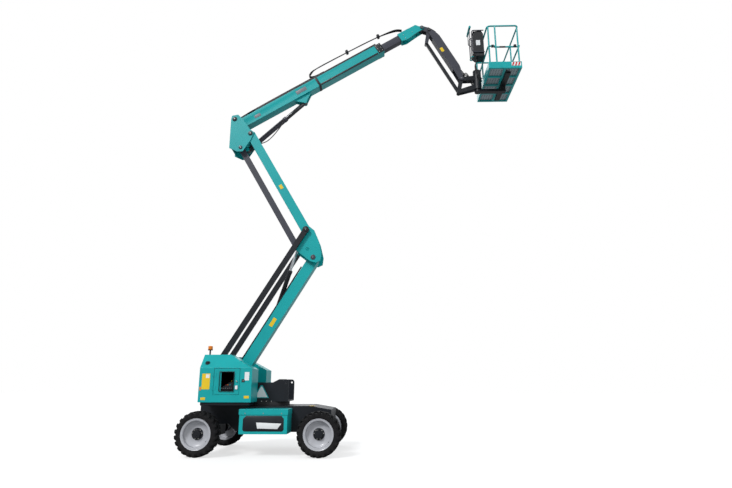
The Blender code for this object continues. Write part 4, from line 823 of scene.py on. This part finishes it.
def beacon():
    low, high = limits("beacon")
    middle = (low + high) / 2
    radius = (high.x - low.x) / 2
    piece = Piece(BLACK)
    base = low.z
    tall = high.z - low.z
    piece.rod((middle.x, middle.y, base), (middle.x, middle.y, base + tall * 0.5), radius * 0.32)
    piece.lathe([(0, 0), (radius * 0.9, 0), (radius, 0.008), (radius, 0.018), (0, 0.018)],
                (middle.x, middle.y, base + tall * 0.5), (0, 0, 1), 40)
    ridges = 10
    top = high.z - base - tall * 0.5
    profile = [(0, 0.018), (radius * 0.92, 0.018)]
    for k in range(ridges):
        h = 0.020 + (top - 0.034) * k / ridges
        profile += [(radius * 0.90, h), (radius * 0.93, h + (top - 0.034) / ridges * 0.5)]
    profile += [(radius * 0.86, top - 0.010), (radius * 0.60, top - 0.002), (0, top)]
    piece.use(AMBER).lathe(profile, (middle.x, middle.y, base + tall * 0.5), (0, 0, 1), 40)
    piece.done("beacon_lens", "turret", 50, ("beacon",))


chassis_details()
skirt_and_deck()
softened("hood_near", 0.030, 4)
softened("hood_far", 0.030, 4)
hood_details()
turret_plates()
beacon()


# ---------------------------------------------------------------------------------------------------------
# Booms, cylinders and hoses
# ---------------------------------------------------------------------------------------------------------
RUN = Vector(JOINTS["boom_extension"]["axis"]).normalized()


def farthest(node, start, run):
    """How far the node reaches from a point along a direction."""
    return max((vertex.co - start).dot(run) for vertex in NODES[node].data.vertices)


BOOM_END = BOOM_PIN + RUN * farthest("outer_boom", BOOM_PIN, RUN)
on_boom = slope(BOOM_PIN, BOOM_END)
on_lower = slope(LOWER_PIN, KNEE_A)
on_upper = slope(KNEE_B, HEAD_D)
on_jib = slope(JIB_TOP, JIB_END)
LOWER_LEN, UPPER_LEN = (KNEE_A - LOWER_PIN).length, (HEAD_D - KNEE_B).length
JIB_LEN, BOOM_LEN = (JIB_END - JIB_TOP).length, (BOOM_END - BOOM_PIN).length


def slab(piece, at, along, rise, across, edge=0.0):
    """A box along a slope, given its two values on each axis."""
    run = (at(1) - at(0)).normalized()
    up = (at(0, 1) - at(0)).normalized()
    turn = Matrix((run, Vector((0, 1, 0)), up)).transposed().to_4x4()
    size = Vector((along[1] - along[0], across[1] - across[0], rise[1] - rise[0]))
    centre = at(sum(along) / 2, sum(rise) / 2, sum(across) / 2)
    piece.box(centre - size / 2, centre + size / 2, edge, turn)


def pin_caps():
    """A collar and a keeper bolt on every pin's ends."""
    rows = [(KNEE_A, 0.262, 0.055, "knee"), (KNEE_B, 0.344, 0.05, "knee"), (KNEE_C, 0.262, 0.045, "knee"),
            (HEAD_D, 0.262, 0.055, "boom_carrier"), (HEAD_E, 0.262, 0.045, "boom_carrier"),
            (BOOM_PIN, 0.262, 0.055, "boom_carrier"), (TIP_PIN, 0.112, 0.045, "extension"),
            (JIB_TOP, 0.102, 0.042, "jib_head"), (JIB_END, 0.102, 0.042, "platform_bracket")]
    for k, (place, half, radius, body) in enumerate(rows):
        piece = Piece(BLACK)
        for side in (-1, 1):
            foot = place + Vector((0, side * half, 0))
            piece.use(BLACK if k % 2 else GREY)
            piece.rod(foot - Vector((0, side * 0.012, 0)), foot + Vector((0, side * 0.004, 0)), radius,
                      sides=32, edge=0.002)
            piece.use(STEEL).rod(foot, foot + Vector((0, side * 0.012, 0)), 0.011, sides=6)
        piece.done(f"pin_caps_{k}", body)


def riser_hoses():
    piece = Piece(HOSE)
    for y in (-0.106, -0.080, 0.094):
        piece.tube(smooth_path([on_lower(0.35, 0.145, y), on_lower(LOWER_LEN * 0.5, 0.136, y),
                                on_lower(LOWER_LEN - 0.30, 0.145, y)], 6), 0.012)
    piece.use(STEEL)
    for reach in (0.5, 1.2, 1.9, 2.6):
        slab(piece, on_lower, (reach, reach + 0.04), (0.118, 0.150), (-0.09, 0.09), 0.003)
    piece.use(YELLOW)
    slab(piece, on_lower, (1.55, 1.75), (-0.04, 0.04), (-0.123, -0.118))
    piece.done("lower_riser_hoses", "lower_riser")
    piece = Piece(HOSE)
    for y in (-0.137, -0.111, 0.111, 0.137):
        route = [(0.28, -0.07), (0.9, -0.088), (UPPER_LEN - 0.8, -0.088), (UPPER_LEN - 0.2, -0.05)]
        piece.tube(smooth_path([on_upper(along, rise, y) for along, rise in route], 6), 0.012)
    piece.use(YELLOW)
    slab(piece, on_upper, (UPPER_LEN * 0.42, UPPER_LEN * 0.42 + 0.11), (-0.035, 0.035), (-0.234, -0.229))
    piece.done("upper_riser_hoses", "upper_riser")


def boom_trim():
    piece = Piece(BLACK)
    for low_side, high_side in ((-0.127, -0.117), (0.117, 0.127)):
        slab(piece, on_boom, (BOOM_LEN - 0.16, BOOM_LEN + 0.004), (-0.232, 0.022), (low_side, high_side),
             0.003)
    slab(piece, on_boom, (BOOM_LEN - 0.16, BOOM_LEN + 0.004), (0.017, 0.028), (-0.12, 0.0), 0.003)
    piece.use(STEEL)
    for reach in (BOOM_LEN - 0.13, BOOM_LEN - 0.04):
        for rise in (-0.19, -0.105, -0.02):
            for side in (-1, 1):
                foot = on_boom(reach, rise, side * 0.126)
                piece.rod(foot, foot + Vector((0, side * 0.008, 0)), 0.010, sides=6)
    piece.use(SILVER)
    slab(piece, on_boom, (1.62, 1.90), (-0.15, -0.05), (-0.1235, -0.118), 0.002)
    slab(piece, on_boom, (0.44, 0.60), (-0.17, -0.09), (-0.1235, -0.118), 0.002)
    piece.use(BLACK)
    slab(piece, on_boom, (2.20, 2.26), (-0.235, 0.03), (-0.126, 0.126), 0.003)
    slab(piece, on_boom, (2.26, BOOM_LEN - 0.18), (-0.236, -0.19), (-0.128, -0.116), 0.004)
    piece.use(HOSE)
    for k in range(3):
        y = -0.085 + 0.03 * k
        piece.tube(smooth_path([on_boom(0.35, 0.075, y), on_boom(1.1, 0.083, y), on_boom(2.0, 0.083, y),
                                on_boom(2.5, 0.078, y)], 8), 0.012)
    for k in range(3):
        y = -0.05 + 0.05 * k
        route = [on_boom(0.36, 0.075, y - 0.03), on_boom(0.15, 0.080, y), on_boom(0.0, 0.070, y),
                 on_boom(-0.06, 0.02, y)]
        piece.tube(smooth_path(route, 8), 0.013)
    links = 34
    for k in range(links):
        reach = 0.58 + (BOOM_LEN - 0.75) * k / links
        slab(piece.use(PLASTIC), on_boom, (reach, reach + 0.062), (0.046, 0.064), (-0.112, -0.012), 0.004)
    piece.done("boom_trim", "boom")


def inner_trim():
    piece = Piece(HOSE)
    tip = slope(TIP_PIN, TIP_PIN + RUN)
    for k in range(3):
        y = -0.085 + 0.03 * k
        piece.tube(smooth_path([on_boom(2.50, 0.082, y), on_boom(2.27, 0.088, y), on_boom(2.14, 0.15, y),
                                on_boom(2.22, 0.23, y), on_boom(2.45, 0.25 + 0.02 * k, y),
                                on_boom(3.3, 0.24 + 0.02 * k, y), on_boom(4.1, 0.21 + 0.02 * k, y),
                                on_boom(4.6, 0.16, y), on_boom(4.78, 0.06, y)], 8), 0.013)
    piece.use(BLACK)
    slab(piece, on_boom, (3.25, 3.31), (0.225, 0.305), (-0.11, -0.005), 0.006)
    slab(piece, on_boom, (4.15, 4.21), (0.195, 0.275), (-0.11, -0.005), 0.006)
    piece.use(HOSE)
    for k in range(4):
        y = -0.055 + 0.035 * k
        route = [tip(-0.62, 0.07, y), tip(-0.42, 0.17, y), tip(-0.16, 0.14, y), tip(0.03, 0.02, y),
                 JIB_TOP + Vector((0.02, y, 0.03))]
        piece.tube(smooth_path(route, 8), 0.011)
    piece.use(STEEL)
    for side in (-1, 1):
        for a, b in ((-0.52, 0.06), (-0.52, -0.05), (-0.28, 0.02)):
            foot = tip(a, b, side * 0.1)
            piece.rod(foot, foot + Vector((0, side * 0.010, 0)), 0.010, sides=6)
    piece.done("boom_tip_hoses", "extension")


def cylinders():
    near = Vector((0, -1, 0))
    # body, node, base pin, barrel radius, paint
    rows = (("lift_barrel", "lift_cylinder_barrel", LIFT_PIN, 0.0575, GREY),
            ("riser_barrel", "riser_cylinder_barrel", pin("riser_barrel_swing"), 0.05, BLACK))
    for body, node, start, radius, paint in rows:
        run = Vector(JOINTS[body.replace("_barrel", "_rod_slide")]["axis"]).normalized()
        length = farthest(node, start, run)

        def beside(reach, gap):
            return start + run * reach + near * (radius + gap)

        piece = Piece(paint)
        piece.use(paint).rod(start + run * (length - 0.07), start + run * (length + 0.002), radius * 1.12,
                             sides=40, edge=0.004)
        piece.rod(start + run * 0.05, start + run * 0.09, radius * 1.08, sides=40, edge=0.004)
        line = [beside(0.12, 0.006), beside(0.4, 0.012), beside(length - 0.2, 0.012),
                beside(length - 0.06, 0.002)]
        piece.use(BLACK).tube(smooth_path(line, 6), 0.008)
        port = start + run * 0.16
        piece.use(IRON).box(port - Vector((0.035, radius + 0.03, 0.035)), port + Vector((0.035, 0.0, 0.035)),
                            0.006)
        piece.done(body + "_fittings", body)
    run = Vector(JOINTS["lift_rod_slide"]["axis"]).normalized()
    sleeve = Piece(ROD)
    sleeve.rod(LIFT_PIN + run * 0.80, LIFT_PIN + run * 1.78, 0.050, sides=40, edge=0.004)
    sleeve.done("lift_rod_sleeve", "lift_rod")
    hose = Piece(HOSE)
    # distance along the cylinder, and the hose's offset from its middle line
    route = ((0.16, (0, -0.09, -0.01)), (0.5, (0.10, -0.09, -0.14)), (0.95, (0.06, -0.085, -0.10)),
             (1.15, (0, -0.07, 0)))
    hose.tube(smooth_path([LIFT_PIN + run * reach + Vector(shift) for reach, shift in route], 10), 0.011)
    hose.done("lift_cylinder_hose", "lift_barrel")


def jib_trim():
    piece = Piece(STEEL)
    for y in (-0.045, 0.0, 0.045):
        piece.tube([on_jib(0.26, 0.112, y), on_jib(JIB_LEN - 0.33, 0.112, y)], 0.008)
    piece.use(BLACK)
    for reach in (0.35, 0.75, 1.15):
        slab(piece, on_jib, (reach, reach + 0.03), (0.098, 0.122), (-0.06, 0.06), 0.002)
    piece.use(HOSE)
    for y in (-0.045, 0.0, 0.045):
        piece.tube(smooth_path([on_jib(0.26, 0.112, y), on_jib(0.10, 0.13, y),
                                JIB_TOP + Vector((-0.02, y, 0.10))], 6), 0.009)
        piece.tube(smooth_path([on_jib(JIB_LEN - 0.33, 0.112, y), on_jib(JIB_LEN - 0.12, 0.14, y),
                                on_jib(JIB_LEN + 0.02, 0.09, y)], 6), 0.009)
    piece.use(YELLOW)
    slab(piece, on_jib, (0.6, 0.72), (-0.04, 0.03), (-0.0925, -0.088))
    piece.done("jib_lines", "jib")


pin_caps()
riser_hoses()
boom_trim()
inner_trim()
cylinders()
jib_trim()


# ---------------------------------------------------------------------------------------------------------
# Platform
# ---------------------------------------------------------------------------------------------------------
def platform():
    low, high = limits("guard_rail")
    bar_low, bar_high = limits("entry_bar")
    radius = (bar_high.z - bar_low.z) / 2
    a0, a1, b0, b1 = low.x + radius, high.x - radius, low.y + radius, high.y - radius
    top, middle = high.z - radius, (bar_low.z + bar_high.z) / 2
    gate = bar_low.x + 0.03
    centre = (a0 + a1) / 2
    piece = Piece(TEAL)
    upper = [(a0, b0, top), (a1, b0, top), (a1, b1, top), (a0, b1, top)]
    piece.tube(bent_path(upper, 0.07, True), radius, True, 16)
    lower = [(gate, b0, middle), (a0, b0, middle), (a0, b1, middle), (a1, b1, middle), (a1, b0, middle)]
    piece.tube(bent_path(lower, 0.05), radius, False, 16)
    posts = [(a0, b0), (gate, b0), (a1, b0), (a0, 0), (a1, 0), (a0, b1), (a1, b1), (centre, b1)]
    for x, y in posts:
        inset_x = 0.02 if x == a0 else (-0.02 if x == a1 else 0)
        inset_y = 0.02 if y == b0 else (-0.02 if y == b1 else 0)
        foot = Vector((x, y, low.z))
        if inset_x and inset_y:
            foot += Vector((inset_x, inset_y, 0))
        piece.rod(foot, foot + STRAIGHT_UP * (top - low.z), radius, sides=16)
        piece.rod(foot, foot + STRAIGHT_UP * 0.010, radius * 1.15, sides=16, edge=0.002)
    piece.use(BLACK)
    for x in (a0 + 0.10, a1 - 0.10):
        piece.box((x - 0.03, b0 - radius - 0.0005, middle - 0.03),
                  (x + 0.03, b0 + radius + 0.004, middle + 0.03), 0.006)
    piece.done("rails", "basket", 40, ("guard_rail",))
    bar = Piece(TEAL)
    y = (bar_low.y + bar_high.y) / 2
    bar.tube([(bar_low.x, y, middle), (bar_high.x, y, middle)], radius, False, 16)
    bar.use(BLACK)
    bar.tube([(bar_low.x + 0.12, y, middle), (bar_low.x + 0.26, y, middle)], radius * 1.04, False, 16)
    bar.done("entry_bar_skin", "entry_bar", 40, ("entry_bar",))


def platform_floor():
    low, high = limits("floor")
    bar, columns, rows = 0.05, 2, 4
    cell_x = (high.x - low.x - bar * (columns + 1)) / columns
    cell_y = (high.y - low.y - bar * (rows + 1)) / rows
    under = high.z - 0.016
    piece = Piece(MESH_PANEL)
    for i in range(columns):
        for j in range(rows):
            a, b = low.x + bar + i * (cell_x + bar), low.y + bar + j * (cell_y + bar)
            piece.use(MESH_PANEL).box((a - 0.001, b - 0.001, under),
                                      (a + cell_x + 0.001, b + cell_y + 0.001, under + 0.006))
            piece.use(BLACK)
            for u in range(5):
                for v in range(5):
                    x, y = a + cell_x * (u + 0.5) / 5, b + cell_y * (v + 0.5) / 5
                    piece.rod((x, y, under - 0.0015), (x, y, under + 0.002), 0.013, sides=8)
    piece.done("floor_panels", "basket")
    toe_low, toe_high = limits("toe_board")
    stripe = Piece(WHITE)
    x1, z0, z1 = toe_high.x, toe_low.z + 0.012, toe_high.z - 0.012
    stripe.box((x1 - 0.24, toe_low.y - 0.0008, z0), (x1 - 0.02, toe_low.y + 0.001, z1))
    stripe.box((x1 - 0.001, toe_low.y + 0.02, z0), (x1 + 0.0008, toe_low.y + 0.24, z1))
    stripe.use(RED)
    for k in range(3):
        x = x1 - 0.235 + 0.07 * k
        stripe.prism([(x, z0), (x + 0.035, z0), (x + 0.065, z1), (x + 0.030, z1)],
                     toe_low.y - 0.0014, toe_low.y)
    stripe.done("toe_stripe", "basket")


def console():
    low, high = limits("console")
    piece = Piece(PLASTIC)
    wide = high.y - low.y
    face = low.x
    piece.use(GREY).box((low.x + 0.02, low.y + 0.02, high.z - 0.028),
                        (high.x - 0.06, high.y - 0.02, high.z - 0.012), 0.004)
    for k in range(3):
        y = low.y + wide * (0.22 + 0.28 * k)
        foot = Vector((low.x + 0.10, y, high.z - 0.030))
        piece.use(BLACK).rod(foot, foot + STRAIGHT_UP * 0.014, 0.016, 0.011, sides=20)
    button = Vector((high.x - 0.09, low.y + wide * 0.5, high.z - 0.03))
    piece.use(RED).rod(button, button + STRAIGHT_UP * 0.026, 0.015, sides=20, edge=0.002)
    piece.use(TEAL)
    loop = [(face + 0.012, low.y + 0.06, low.z + 0.02), (face - 0.05, low.y + 0.06, low.z + 0.02),
            (face - 0.05, high.y - 0.06, low.z + 0.02), (face + 0.012, high.y - 0.06, low.z + 0.02)]
    piece.tube(bent_path(loop, 0.03), 0.012, False, 12)
    piece.use(GREY)
    for y in (low.y - 0.016, high.y + 0.016):
        guard = [(high.x + 0.005, y, low.z + 0.10), (face - 0.02, y, low.z + 0.10),
                 (face - 0.02, y, high.z - 0.016), (high.x + 0.005, y, high.z - 0.016)]
        piece.tube(bent_path(guard, 0.06), 0.013, False, 12)
    piece.use(GREY)
    ceiling = high.z + 0.07
    for y in (low.y + 0.03, high.y - 0.03):
        stalk = [(face + 0.01, y, high.z - 0.30), (face - 0.06, y, high.z - 0.24), (face - 0.06, y, ceiling)]
        piece.tube(bent_path(stalk, 0.04), 0.010, False, 12)
    piece.use(TEAL).rod((face - 0.06, low.y - 0.05, ceiling), (face - 0.06, high.y + 0.05, ceiling), 0.028,
                        sides=28, edge=0.008)
    piece.use(WHITE)
    piece.box((low.x + 0.08, low.y - 0.0015, low.z + 0.30), (low.x + 0.18, low.y + 0.001, low.z + 0.44))
    piece.use(HOSE)
    for k in range(3):
        y = low.y + wide * (0.3 + 0.2 * k)
        route = [(low.x + 0.12, y, low.z + 0.01), (low.x + 0.06, y, low.z - 0.16),
                 (low.x + 0.10, y, low.z - 0.42), (low.x + 0.20, y + 0.04, low.z - 0.56)]
        piece.tube(smooth_path(route, 8), 0.010)
    piece.done("console_parts", "basket")
    hose = Piece(HOSE)
    for k in range(3):
        y = -0.05 + 0.05 * k
        route = [JIB_END + Vector((0.03, y, 0.10)), JIB_END + Vector((0.14, y, 0.16)),
                 POST + Vector((-0.12, y, 0.06)), POST + Vector((-0.06, y * 1.4, 0.02))]
        hose.tube(smooth_path(route, 8), 0.010)
    hose.done("bracket_hoses", "platform_bracket")


platform()
platform_floor()
softened("console", 0.015, 3, PLASTIC)
softened("toe_board", 0.001, 1)
console()
